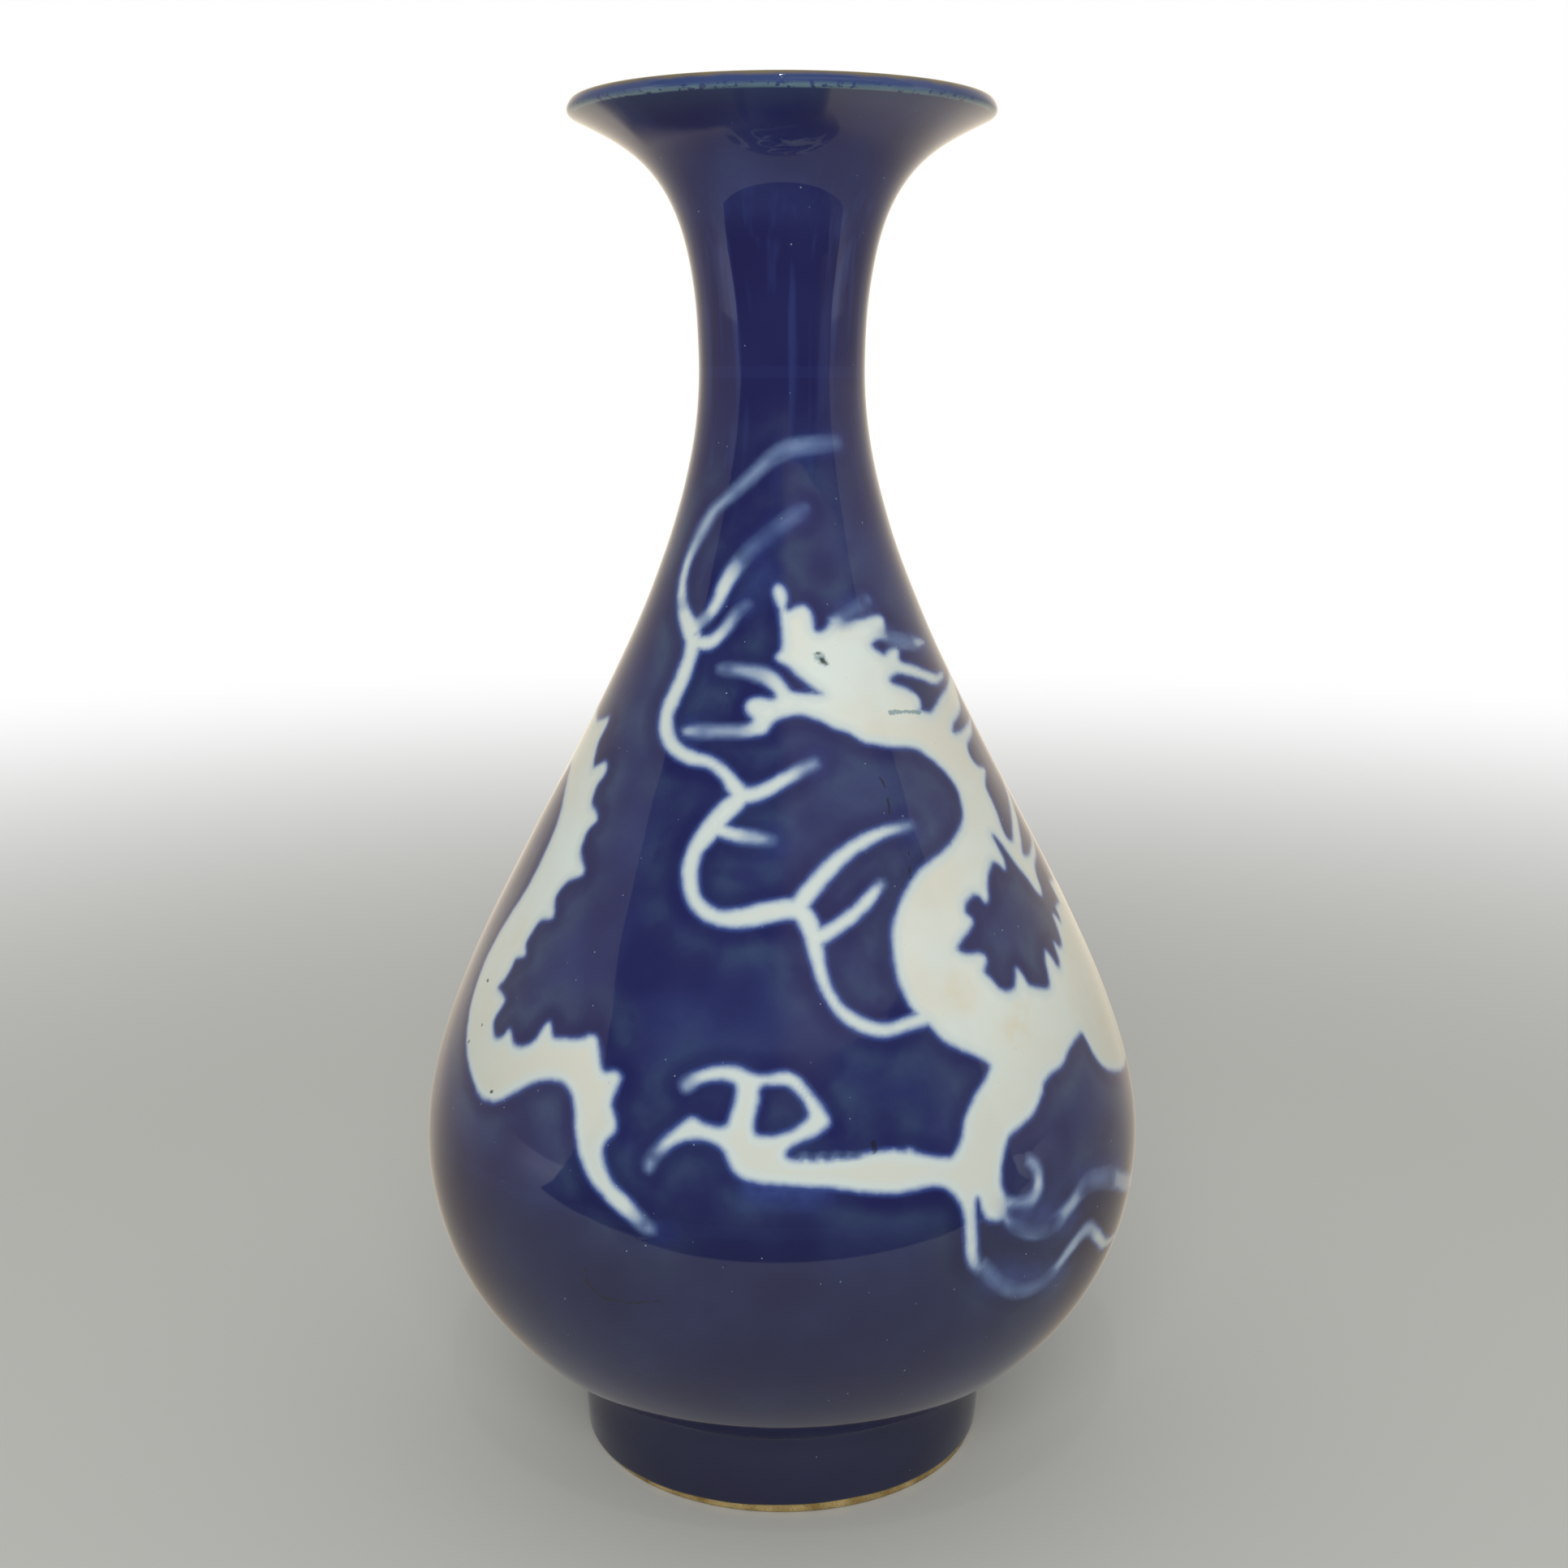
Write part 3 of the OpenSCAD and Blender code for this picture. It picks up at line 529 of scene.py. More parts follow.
MARKS: dict[Flaw, tuple[Mark, ...]] = {
    Flaw.FADE: (
        Mark(38, 230, 4, 228.8, 2.3, 0.9), Mark(38, 230, 28, 230, 2.4, 0.2),
        Mark(-9, 226.2, -26, 220.4, 2.2, 0.85), Mark(-36, 217, -44, 212.4, 2.2, 0.6),
        spot(-47.5, 209, 2.0, 0.4), spot(-45.5, 196.6, 1.6, 0.4), spot(-32.5, 194, 1.6, 0.75),
        Mark(-17.5, 207.2, 10, 216, 2.6, 1.15), spot(-7, 211.2, 2.2, 0.2), spot(13, 216.8, 2.0, 0.15),
        Mark(-16.6, 196.4, -13, 197.8, 1.8, 1.0), spot(-21, 193.2, 2.2, 0.35),
        Mark(-9, 183.6, -17, 184.4, 2.2, 0.6), Mark(-20.5, 184.4, -23, 184.4, 1.8, 0.55),
        Mark(-13.5, 172.6, -22, 172.2, 2.0, 0.7), Mark(-26, 172, -29, 172, 1.8, 0.4),
        Mark(26, 195, 34, 196.6, 2.0, 1.1), spot(38.5, 197.8, 2.0, 0.45),
        Mark(45, 189.5, 56, 188.2, 1.9, 1.0), Mark(35.4, 77, 42, 73.8, 2.4, 1.25),
        Mark(45, 75.2, 49, 77.8, 2.6, 0.6), Mark(52, 79, 58.5, 77, 2.6, 1.05),
        Mark(61.5, 75, 72, 68.6, 2.6, 0.6), Mark(30, 69, 32.8, 65, 2.6, 1.0),
        Mark(36.8, 61.7, 42, 60.9, 2.6, 1.05), Mark(44.5, 63, 47, 65.6, 2.4, 0.55),
        Mark(51, 68.6, 53.2, 68, 2.4, 0.7), Mark(35, 81.2, 37.6, 80.8, 2.0, 0.85),
        spot(40, 84, 2.2, 0.3), Mark(39.8, 87.8, 38.4, 89.2, 1.8, 0.75),
        spot(-18.4, 80.4, 2.8, 0.75), spot(-20.4, 82.4, 2.0, 0.35), spot(-19.4, 92.8, 3.0, 0.7),
        spot(-18.2, 95.6, 1.8, 0.4), spot(-15.2, 108, 2.4, 0.65), Mark(6.5, 166, 9.5, 166.8, 2.0, 0.75),
        Mark(-6.4, 152.9, -2, 152.4, 2.0, 0.55), spot(-1.4, 152.3, 1.8, 0.4),
        Mark(29.8, 153.5, 33, 153.8, 2.0, 0.7), spot(21.6, 144.2, 1.8, 0.6),
        Mark(2.5, 96.3, 10.8, 95.9, 0.7, 0.9),
    ),
    Flaw.HAZE: (
        Mark(-4, 89.6, 5, 89, 2.6, 0.6), Mark(36, 79, 47, 73, 4.0, 0.5), Mark(50, 81, 64, 77, 3.6, 0.45),
        Mark(31, 67, 46, 60.5, 3.6, 0.5), Mark(25, 196, 38, 197, 3.0, 0.5),
        Mark(48, 189.5, 66, 187, 2.6, 0.5), spot(9, 166.5, 3.0, 0.45), spot(-1, 152.5, 3.2, 0.45),
        spot(31, 153, 3.2, 0.45),
        Mark(36, 230, 8, 228.5, 2.6, 0.5), Mark(10, 216, -14, 208.6, 2.4, 0.5), spot(-17, 80, 3.4, 0.3),
        spot(-8.5, 203, 4.0, 0.35), spot(-27, 172, 3.0, 0.5), spot(-15, 197, 2.4, 0.5),
    ),
    Flaw.STAIN: (
        spot(32, 122, 4.0, 0.6), spot(42, 114, 5.5, 0.65), spot(72, 103, 7.0, 0.7),
        spot(24, 177, 6.0, 0.25), spot(-4, 106, 3.0, 0.5), spot(-53, 97, 5.0, 0.5),
        spot(50, 120, 9.0, 0.25), spot(62, 112, 9.0, 0.3), spot(15, 93, 7.0, 0.25),
        spot(-62, 112, 6.0, 0.3), spot(-34, 92, 6.0, 0.25),
    ),
    Flaw.VEIN: (
        Mark(34.5, 175.2, 47, 174.4, 0.6, 0.75), spot(13.4, 186.9, 1.5, 0.55), spot(14.4, 186, 1.3, 0.5),
    ),
    Flaw.CRACK: (
        spot(14.4, 186, 0.8, 0.85), spot(12.9, 187.5, 0.5, 0.6), Mark(13.2, 98, 13.3, 96, 0.45, 0.6),
        Mark(26, 163, 26.8, 161, 0.26, 0.7), Mark(27, 159, 26.5, 156, 0.32, 0.7),
        Mark(28.8, 149, 28, 144.5, 0.28, 0.7), spot(-51.5, 98, 0.6, 0.8), spot(-60.5, 108.5, 0.45, 0.7),
        spot(-63.5, 104, 0.5, 0.7), spot(-65, 116.5, 0.6, 0.8),
        Mark(-28.6, 70, -28.6, 66.6, 0.34, 0.65), Mark(-28.6, 66.6, -25.9, 64, 0.34, 0.65),
        Mark(-25.9, 64, -20.1, 64.5, 0.34, 0.65), Mark(-20.1, 64.5, -17.3, 66, 0.3, 0.5),
    ),
}


@dataclass
class Wheel:
    """Geometry trees that throw a profile as on a potter's wheel.

    Segments counts the faces round the axis. The throwing rings' greatest depth, their spacing and
    the size of the swells round the wall are in millimetres.
    """

    segments: int = 160
    ring_depth: float = 0.3
    ring_gap: float = 16.0
    swell: float = 70.0

    def __post_init__(self) -> None:
        """Builds the trees."""
        self.turning = self.turning_tree()
        self.throwing = self.throwing_tree()

    @staticmethod
    def turning_tree() -> Any:
        """Builds the tree that turns a profile of edges about the axis.

        Returns:
            The tree.
        """
        tree, given = new_tree("turn_profile", {
            "Rows": "NodeSocketInt", "Segments": "NodeSocketInt", "Material": "NodeSocketMaterial",
        })
        rows, around = given["Rows"], given["Segments"]
        across = add(tree, MATH, {0: around, 1: 1}, operation="ADD")
        grid = add(tree, "GeometryNodeMeshGrid", {"Vertices X": across, "Vertices Y": rows}, "Mesh")
        index = add(tree, "GeometryNodeInputIndex")
        row = add(tree, MATH, {0: index, 1: rows}, operation="FLOORED_MODULO")
        step = add(tree, MATH, {0: index, 1: rows}, operation="DIVIDE")
        step = add(tree, MATH, {0: step}, operation="FLOOR")
        angle = add(tree, MATH, {0: step, 1: math.tau}, operation="MULTIPLY")
        angle = add(tree, MATH, {0: angle, 1: around}, operation="DIVIDE")
        place = add(tree, "GeometryNodeInputPosition")
        point = add(tree, "GeometryNodeSampleIndex", {
            "Geometry": given["Geometry"], "Value": place, "Index": row,
        }, data_type="FLOAT_VECTOR", domain="POINT")
        turned = add(tree, "ShaderNodeVectorRotate", {
            "Vector": point, "Angle": angle,
        }, rotation_type="Z_AXIS")
        rim = add(tree, "GeometryNodeInputNamedAttribute", {"Name": Trait.RIM.value}, data_type="FLOAT")
        rim = add(tree, "GeometryNodeSampleIndex", {
            "Geometry": given["Geometry"], "Value": rim, "Index": row,
        }, data_type="FLOAT", domain="POINT")
        kept = add(tree, "GeometryNodeStoreNamedAttribute", {
            "Geometry": grid, "Name": Trait.RIM.value, "Value": rim,
        }, data_type="FLOAT", domain="POINT")
        placed = add(tree, "GeometryNodeSetPosition", {"Geometry": kept, "Position": turned})
        closed = add(tree, "GeometryNodeMergeByDistance", {
            "Geometry": placed, "Distance": SAME_POINT * MM,
        })
        smooth = add(tree, "GeometryNodeSetShadeSmooth", {0: closed})
        close_tree(tree, smooth, given["Material"])
        return tree

    @staticmethod
    def throwing_tree() -> Any:
        """Builds the tree that leaves the soft rings and swells of a hand-thrown wall.

        Returns:
            The tree.
        """
        tree, given = new_tree("throwing_rings", {
            "Depth": "NodeSocketFloat", "Ring": "NodeSocketFloat", "Swell": "NodeSocketFloat",
            "Material": "NodeSocketMaterial",
        })
        place = add(tree, "GeometryNodeInputPosition")
        outward = add(tree, VECTOR, {0: place, 1: (1, 1, 0)}, operation="MULTIPLY")
        outward = add(tree, VECTOR, {0: outward}, operation="NORMALIZE")
        across = add(tree, MATH, {0: 1.0, 1: given["Swell"]}, operation="DIVIDE")
        along = add(tree, MATH, {0: 1.0, 1: given["Ring"]}, operation="DIVIDE")
        sizes = add(tree, "ShaderNodeCombineXYZ", {0: across, 1: across, 2: along})
        sample = add(tree, VECTOR, {0: place, 1: sizes}, operation="MULTIPLY")
        noise = add(tree, NOISE, {"Vector": sample, "Scale": 1.0, "Detail": 1.0}, noise_dimensions="3D")
        swing = add(tree, MATH, {0: noise, 1: 0.5}, operation="SUBTRACT")
        depth = add(tree, MATH, {0: swing, 1: given["Depth"]}, operation="MULTIPLY")
        offset = add(tree, VECTOR, {0: outward, "Scale": depth}, operation="SCALE")
        moved = add(tree, "GeometryNodeSetPosition", {"Geometry": given["Geometry"], "Offset": offset})
        close_tree(tree, moved, given["Material"])
        return tree

    def turn(
        self, name: str, line: np.ndarray, rim: np.ndarray, material: bpy.types.Material
    ) -> bpy.types.Mesh:
        """Turns a profile about the axis.

        Args:
            name: the mesh's name.
            line: points of radius and height.
            rim: each point's distance from the lip's crest.
            material: the finish.

        Returns:
            The turned mesh, with seam and poles closed.
        """
        mesh = bpy.data.meshes.new(name)
        points = [(r * MM, 0.0, z * MM) for r, z in line]
        mesh.from_pydata(points, [(i, i + 1) for i in range(len(points) - 1)], [])
        write(mesh, Trait.RIM, rim)
        return run_tree(mesh, self.turning, {
            "Rows": len(points), "Segments": self.segments, "Material": material,
        })

    def throw(self, mesh: bpy.types.Mesh, material: bpy.types.Material) -> bpy.types.Mesh:
        """Leaves throwing rings on a mesh.

        Args:
            mesh: the turned mesh, which is removed.
            material: the finish.

        Returns:
            The thrown mesh.
        """
        return run_tree(mesh, self.throwing, {
            "Depth": self.ring_depth * MM, "Ring": self.ring_gap * MM, "Swell": self.swell * MM,
            "Material": material,
        })


class Drawing:
    """The dragon's outline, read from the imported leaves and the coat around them, and the marks."""

    def __init__(self, form: VaseForm, nodes: dict[str, bpy.types.Object], reach: float = 14.0) -> None:
        """Gathers the outer faces of the white leaves and of the blue coat.

        Args:
            form: the vase's sizes.
            nodes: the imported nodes.
            reach: the greatest distance that is measured from the outline.
        """
        line, _ = form.outer_rows()
        above_foot = 0.4 * form.belly_z
        self.line = line[line[:, 1] > above_foot]
        self.reach = reach
        self.owners: list[int] = []
        self.white = self.tree_of([nodes[n] for n in LEAVES], self.owners)
        self.blue = self.tree_of([nodes["blue_glaze"]], [])

    def radius(self, z: Any) -> Any:
        """Radius of the glazed surface at a height."""
        return np.interp(z, self.line[:, 1], self.line[:, 0])

    def tree_of(
        self, solids: list[bpy.types.Object], owners: list[int], skin: float = 0.45, outward: float = 0.3
    ) -> BVHTree:
        """Makes a search tree of the outer faces of some solids.

        Args:
            solids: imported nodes.
            owners: gets the place of each face's node in that list.
            skin: depth under the surface at which faces still count.
            outward: the least share of a face's direction that points away from the axis.

        Returns:
            The search tree, in millimetres.
        """
        corners: list[list[float]] = []
        faces: list[tuple[int, int, int]] = []
        for place, solid in enumerate(solids):
            mesh = solid.data
            mesh.calc_loop_triangles()
            tris = np.zeros(len(mesh.loop_triangles) * 3, np.int32)
            mesh.loop_triangles.foreach_get("vertices", tris)
            tri = points_of(mesh)[tris.reshape(-1, 3)]
            normal = np.cross(tri[:, 1] - tri[:, 0], tri[:, 2] - tri[:, 0])
            normal /= np.maximum(np.linalg.norm(normal, axis=1), TINY)[:, None]
            middle = tri.mean(1)
            out = np.hypot(middle[:, 0], middle[:, 1])
            facing = (normal[:, :2] * middle[:, :2]).sum(1) / np.maximum(out, TINY)
            for t in tri[(facing > outward) & (out > self.radius(middle[:, 2]) - skin)]:
                first = len(corners)
                corners.extend(t.tolist())
                faces.append((first, first + 1, first + 2))
                owners.append(place)
        return BVHTree.FromPolygons(corners, faces)

    def depth(self, point: Any) -> float:
        """Measures how deep a point of the surface lies in the white slip.

        Args:
            point: the point in millimetres.

        Returns:
            Distance to the outline, positive in the white and negative in the blue.
        """
        away = self.white.find_nearest(point, self.reach)[3]
        inside = self.blue.find_nearest(point, self.reach)[3]
        return (self.reach if inside is None else inside) - (self.reach if away is None else away)

    def leaf_at(self, point: Any) -> int:
        """Gives the place in LEAVES of the leaf nearest to a point."""
        return self.owners[self.white.find_nearest(point)[2]]

    def ends(self, mark: Mark) -> tuple[np.ndarray, np.ndarray]:
        """Finds a mark's two ends on the surface.

        Args:
            mark: the mark.

        Returns:
            Where it starts and ends, in millimetres.
        """
        made = []
        for angle, z in ((mark.angle, mark.height), (mark.to_angle, mark.to_height)):
            a, r = math.radians(angle), float(self.radius(z))
            made.append(np.array([r * math.sin(a), -r * math.cos(a), z]))
        return made[0], made[1]

    def marked(self, points: np.ndarray, flaw: Flaw) -> np.ndarray:
        """Sums the strengths of one kind of mark at points of the surface.

        Where the white fades, a mark stays even across its width, so that no stroke gets an outline.

        Args:
            points: places in millimetres, as rows.
            flaw: the kind of mark.

        Returns:
            The strength at each point.
        """
        total = np.zeros(len(points))
        wider, longer, power = (1.25, 1.5, 4) if flaw is Flaw.FADE else (1.0, 1.0, 2)
        for mark in MARKS[flaw]:
            start, end = self.ends(mark)
            way = end - start
            share = (points - start) @ way / max(way @ way, TINY)
            across = np.linalg.norm(points - start - share[:, None] * way, axis=1) / (wider * mark.reach)
            beyond = np.linalg.norm(way) * np.abs(share - np.clip(share, 0, 1)) / (longer * mark.reach)
            total += mark.amount * np.exp(-across ** power - beyond ** 2)
        return total


@dataclass(frozen=True)
class CobaltOverSlip:
    """Glossy cobalt glaze on stoneware, with white slip set in it under the same clear gloss.

    The cobalt pools dark and mottled, runs down the neck in streaks, bleeds into the slip's edges
    and breaks to a pale line where it thins at the lip. Pinholes and iron specks are sparse. Painted
    shade darkens the blue on the lower belly and the foot, and the white on the lower body. Patterns
    and depths are in millimetres, and heights on the vase in metres.
    """

    navy: str = "#282b58"
    cobalt: str = "#333c6b"
    teal: str = "#40526d"
    pool: str = "#201f52"
    throat: str = "#23224f"
    # The colour of the painted shade on the lower belly and the foot.
    shade: str = "#1d1e34"
    bleed: str = "#3f5290"
    faint: str = "#6a80a8"
    pale: str = "#9fb0c3"
    film: str = "#cbd5d1"
    cool: str = "#d7e1db"
    warm: str = "#d7d7c9"
    # The white's colour under painted shade, on the lower body.
    shaded_white: str = "#cbcec2"
    cream: str = "#d9c8a4"
    iron: str = "#23220f"
    thin: str = "#6d8b93"
    buff: str = "#75694c"
    rough: float = 0.05
    ior: float = 1.5
    mottle: float = 18.0
    spread: float = 9.0
    cloud: float = 4.5
    streak: float = 2.4
    streak_l: float = 60.0
    ripple: float = 6.0
    relief: float = 0.05
    wisp: float = 2.6
    white_cloud: float = 30.0
    stain: float = 3.5
    speck_gap: float = 1.9
    lip_corner: float = 4.1
    lip_patch: float = 6.0
    lip_nick: float = 1.6
    crack_edge: float = 0.8
    crack_turn: float = 3.0
    crack_wander: float = 1.6
    brush: tuple[tuple[float, float], ...] = ((2.4, 0.5), (8.0, 0.7))
    neck: tuple[float, float] = (0.2, 0.25)
    flare: tuple[float, float] = (0.288, 0.268)
    joints: tuple[float, float] = (0.0815, 0.2445)
    joint_half: float = 1.2
    # Heights in metres over which painted shade darkens the blue on the lower belly and on the foot.
    belly_shade: tuple[float, float] = (0.095, 0.07)
    foot_shade: tuple[float, float] = (0.024, 0.013)
    # Heights in metres over which the white is painted darker towards the bottom, as shade.
    white_shade_heights: tuple[float, float] = (0.125, 0.095)

    def material(self, drawing: Drawing) -> bpy.types.Material:
        """Builds the finish.

        Args:
            drawing: places the cracks and pits.

        Returns:
            The material.
        """
        made, tree = bare_material("cobalt_glaze_over_white_slip")
        at = add(tree, "ShaderNodeTexCoord", out="Object")
        depth = self.ragged_depth(tree, at)
        colour = self.field(tree, at, depth)
        colour = self.slip(tree, at, depth, colour)
        colour, pits = self.pinholes(tree, at, colour)
        colour = self.lip(tree, at, colour)
        colour = self.cracks(tree, at, colour, drawing)
        ripple = add(tree, NOISE, {"Vector": at, "Scale": per_mm(self.ripple), "Detail": 2.0})
        relief = {"Distance": self.relief * MM}
        peel = add(tree, BUMP, {**relief, "Strength": 0.12, "Height": ripple})
        pitted = add(tree, BUMP, {**relief, "Strength": 0.5, "Height": pits, "Normal": peel}, invert=True)
        shader = add(tree, "ShaderNodeBsdfPrincipled", {
            "Base Color": colour, "Roughness": self.rough, "IOR": self.ior, "Normal": pitted,
        })
        add(tree, "ShaderNodeOutputMaterial", {0: shader})
        return made

    def ragged_depth(self, tree: Any, at: Any) -> Any:
        """Lets the slip's edge wander, as slip brushed on wet glaze does.

        Args:
            tree: the material's tree.
            at: the place on the vase.

        Returns:
            The depth in the slip, below zero in the blue.
        """
        slip = add(tree, ATTRIBUTE, out="Fac", attribute_name=Trait.SLIP.value)
        for size, swing in self.brush:
            noise = add(tree, NOISE, {"Vector": at, "Scale": per_mm(size), "Detail": 2.0})
            slip = add(tree, MATH, {0: noise, 1: swing, 2: slip}, operation="MULTIPLY_ADD")
            slip = add(tree, MATH, {0: slip, 1: swing / 2}, operation="SUBTRACT")
        return slip

    def field(self, tree: Any, at: Any, depth: Any) -> Any:
        """Colours the blue: mottled, greener near the slip, darker where it pools, painted shade on belly
        and foot.

        Args:
            tree: the material's tree.
            at: the place on the vase.
            depth: the depth in the slip.

        Returns:
            The blue's colour.
        """
        height = add(tree, "ShaderNodeSeparateXYZ", {0: at}, "Z")
        run = add(tree, VECTOR, {0: at, 1: (1, 1, self.streak / self.streak_l)}, operation="MULTIPLY")
        mottle, spread, cloud, streak = (
            add(tree, NOISE, {"Vector": place, "Scale": per_mm(size), "Detail": detail})
            for place, size, detail in (
                (at, self.mottle, 3.0), (at, self.spread, 2.0), (at, self.cloud, 4.0),
                (run, self.streak, 1.0),
            )
        )
        # belly and foot are painted shade: they darken the blue low on the belly and on the foot.
        mottled, spread, near, pooled, neck, flare, belly, foot = (
            add(tree, RANGE, {
                "Value": value, "From Min": start, "From Max": end, "To Min": first, "To Max": last,
            }, interpolation_type=SMOOTH)
            for value, (start, end), first, last in (
                (mottle, (0.35, 0.68), 0.0, 1.0), (spread, (0.36, 0.68), 0.1, 0.8),
                (depth, (-13.0, -3.0), 0.0, 1.0), (depth, (-5.5, -2.0), 0.0, 0.6),
                (height, self.neck, 0.0, 1.0), (height, self.flare, 0.0, 1.0),
                (height, self.belly_shade, 0.0, 0.6), (height, self.foot_shade, 0.0, 0.6),
            )
        )
        clouded, streaked = (
            add(tree, RANGE, {"Value": value, "From Min": start, "From Max": end, "To Max": last})
            for value, start, end, last in ((cloud, 0.35, 0.85, 0.5), (streak, 0.5, 0.75, 0.26))
        )
        neck = add(tree, MATH, {0: neck, 1: flare}, operation="MULTIPLY")
        rings = [
            add(tree, MATH, {0: height, 1: joint, 2: self.joint_half * MM}, operation="COMPARE")
            for joint in self.joints
        ]
        greener, throat, streaked, *rings = (
            add(tree, MATH, {0: share, 1: part}, operation="MULTIPLY")
            for share, part in (
                (near, spread), (neck, 0.75), (neck, streaked), *((ring, 0.06) for ring in rings),
            )
        )
        colour: Any = linear(self.navy)
        for share, tone in (
            (mottled, self.cobalt), (greener, self.teal), (clouded, self.pool), (pooled, self.pool),
            (throat, self.throat), (streaked, self.bleed), *((ring, self.bleed) for ring in rings),
            # Painted shade: the blue turns to the shade colour low on the belly and on the foot.
            (belly, self.shade), (foot, self.shade),
        ):
            colour = add(tree, MIX, {SHARE: share, BELOW: colour, ABOVE: linear(tone)}, MIXED, **COLOURS)
        return colour

    def slip(self, tree: Any, at: Any, depth: Any, colour: Any) -> Any:
        """Lays the slip on the blue: a bleed, a pale edge, a cooler film and a creamy white, painted
        shade low down.

        Args:
            tree: the material's tree.
            at: the place on the vase.
            depth: the depth in the slip.
            colour: the blue's colour.

        Returns:
            The colour of both.
        """
        height = add(tree, "ShaderNodeSeparateXYZ", {0: at}, "Z")
        haze, stain, fade = (
            add(tree, ATTRIBUTE, out="Fac", attribute_name=trait.value)
            for trait in (Trait.HAZE, Trait.STAIN, Trait.FADE)
        )
        wisp, cloud, spread = (
            add(tree, NOISE, {"Vector": at, "Scale": per_mm(size), "Detail": detail})
            for size, detail in ((self.wisp, 3.0), (self.white_cloud, 3.0), (self.stain, 4.0))
        )
        wisp, spread, faded, soft, left, whole = (
            add(tree, RANGE, {
                "Value": value, "From Min": start, "From Max": end, "To Min": first, "To Max": last,
            })
            for value, start, end, first, last in (
                (wisp, 0.3, 0.7, 0.55, 1.0), (spread, 0.35, 0.65, 0.3, 0.9), (fade, 0.0, 1.0, 0.0, 1.0),
                (fade, 0.0, 1.0, 1.0, 0.8), (fade, 0.8, 1.5, 1.0, 0.0), (fade, 0.0, 1.0, -0.1, 1.1),
            )
        )
        hazed, stained = (
            add(tree, MATH, {0: mark, 1: noise}, operation="MULTIPLY", use_clamp=True)
            for mark, noise in ((haze, wisp), (stain, spread))
        )
        depth = add(tree, MATH, {0: depth, 1: soft}, operation="MULTIPLY")
        # The white is painted darker low on the body, as shade.
        start, end = self.white_shade_heights
        warmer, white_shade, edged, filmed, filled, laid = (
            add(tree, RANGE, {
                "Value": value, "From Min": low, "From Max": high, "To Max": most,
            }, interpolation_type=SMOOTH)
            for value, low, high, most in (
                (cloud, 0.35, 0.65, 1.0), (height, start, end, 0.75), (depth, -0.7, 0.4, 1.0),
                (depth, -0.05, 1.0, 1.0), (depth, 0.8, 2.8, 1.0), (depth, -1.4, whole, left),
            )
        )
        white: Any = linear(self.cool)
        for share, tone in ((warmer, self.warm), (stained, self.cream), (white_shade, self.shaded_white)):
            white = add(tree, MIX, {SHARE: share, BELOW: white, ABOVE: linear(tone)}, MIXED, **COLOURS)
        bleed, edge, film, white = (
            add(tree, MIX, {SHARE: faded, BELOW: full, ABOVE: linear(self.faint)}, MIXED, **COLOURS)
            for full in (linear(self.bleed), linear(self.pale), linear(self.film), white)
        )
        for share, top in ((edged, edge), (filmed, film), (filled, white)):
            bleed = add(tree, MIX, {SHARE: share, BELOW: bleed, ABOVE: top}, MIXED, **COLOURS)
        for share, top in ((hazed, linear(self.bleed)), (laid, bleed)):
            colour = add(tree, MIX, {SHARE: share, BELOW: colour, ABOVE: top}, MIXED, **COLOURS)
        return colour

    def pinholes(self, tree: Any, at: Any, colour: Any) -> tuple[Any, Any]:
        """Pricks the glaze with pale pinholes.

        Args:
            tree: the material's tree.
            at: the place on the vase.
            colour: the glaze's colour.

        Returns:
            The pricked colour and the holes.
        """
        away = add(tree, CELLS, {"Vector": at, "Scale": per_mm(self.speck_gap)}, "Distance")
        grain = add(tree, "ShaderNodeSeparateColor", {0: away.node.outputs["Color"]})
        size = add(tree, RANGE, {"Value": grain, "From Min": 0.8, "From Max": 1.0, "To Max": 0.1})
        hole = add(tree, MATH, {0: away, 1: size}, operation="LESS_THAN")
        share = add(tree, MATH, {0: hole, 1: 0.5}, operation="MULTIPLY")
        tone = linear(self.pale)
        return add(tree, MIX, {SHARE: share, BELOW: colour, ABOVE: tone}, MIXED, **COLOURS), hole

    def lip(self, tree: Any, at: Any, colour: Any) -> Any:
        """Thins the glaze to a pale line under the lip and to bare buff along its crest.

        Args:
            tree: the material's tree.
            at: the place on the vase.
            colour: the glaze's colour.

        Returns:
            The colour with the lip's in it.
        """
        rim = add(tree, ATTRIBUTE, out="Fac", attribute_name=Trait.RIM.value)
        patch, nick = (
            add(tree, NOISE, {"Vector": at, "Scale": per_mm(size), "Detail": detail})
            for size, detail in ((self.lip_patch, 3.0), (self.lip_nick, 2.0))
        )
        wander = add(tree, MATH, {0: patch, 1: 1.2, 2: rim}, operation="MULTIPLY_ADD")
        corner = self.lip_corner
        band, under, line, below, nick, bare = (
            add(tree, RANGE, {
                "Value": value, "From Min": start, "From Max": end, "To Max": most,
            }, interpolation_type=SMOOTH)
            for value, start, end, most in (
                (rim, corner + 0.3, corner - 0.3, 0.45), (rim, corner + 9.0, corner, 0.4),
                (rim, corner - 1.5, corner - 0.1, 1.0), (rim, corner + 0.7, corner + 0.1, 1.0),
                (nick, 0.36, 0.46, 1.0), (wander, 2.7, 1.3, 1.0),
            )
        )
        patch = add(tree, RANGE, {
            "Value": patch, "From Min": 0.3, "From Max": 0.6, "To Min": 0.4, "To Max": 0.85,
        })
        for part in (below, patch, nick):
            line = add(tree, MATH, {0: line, 1: part}, operation="MULTIPLY")
        for share, tone in ((band, self.bleed), (under, self.teal), (line, self.thin), (bare, self.buff)):
            colour = add(tree, MIX, {SHARE: share, BELOW: colour, ABOVE: linear(tone)}, MIXED, **COLOURS)
        return colour

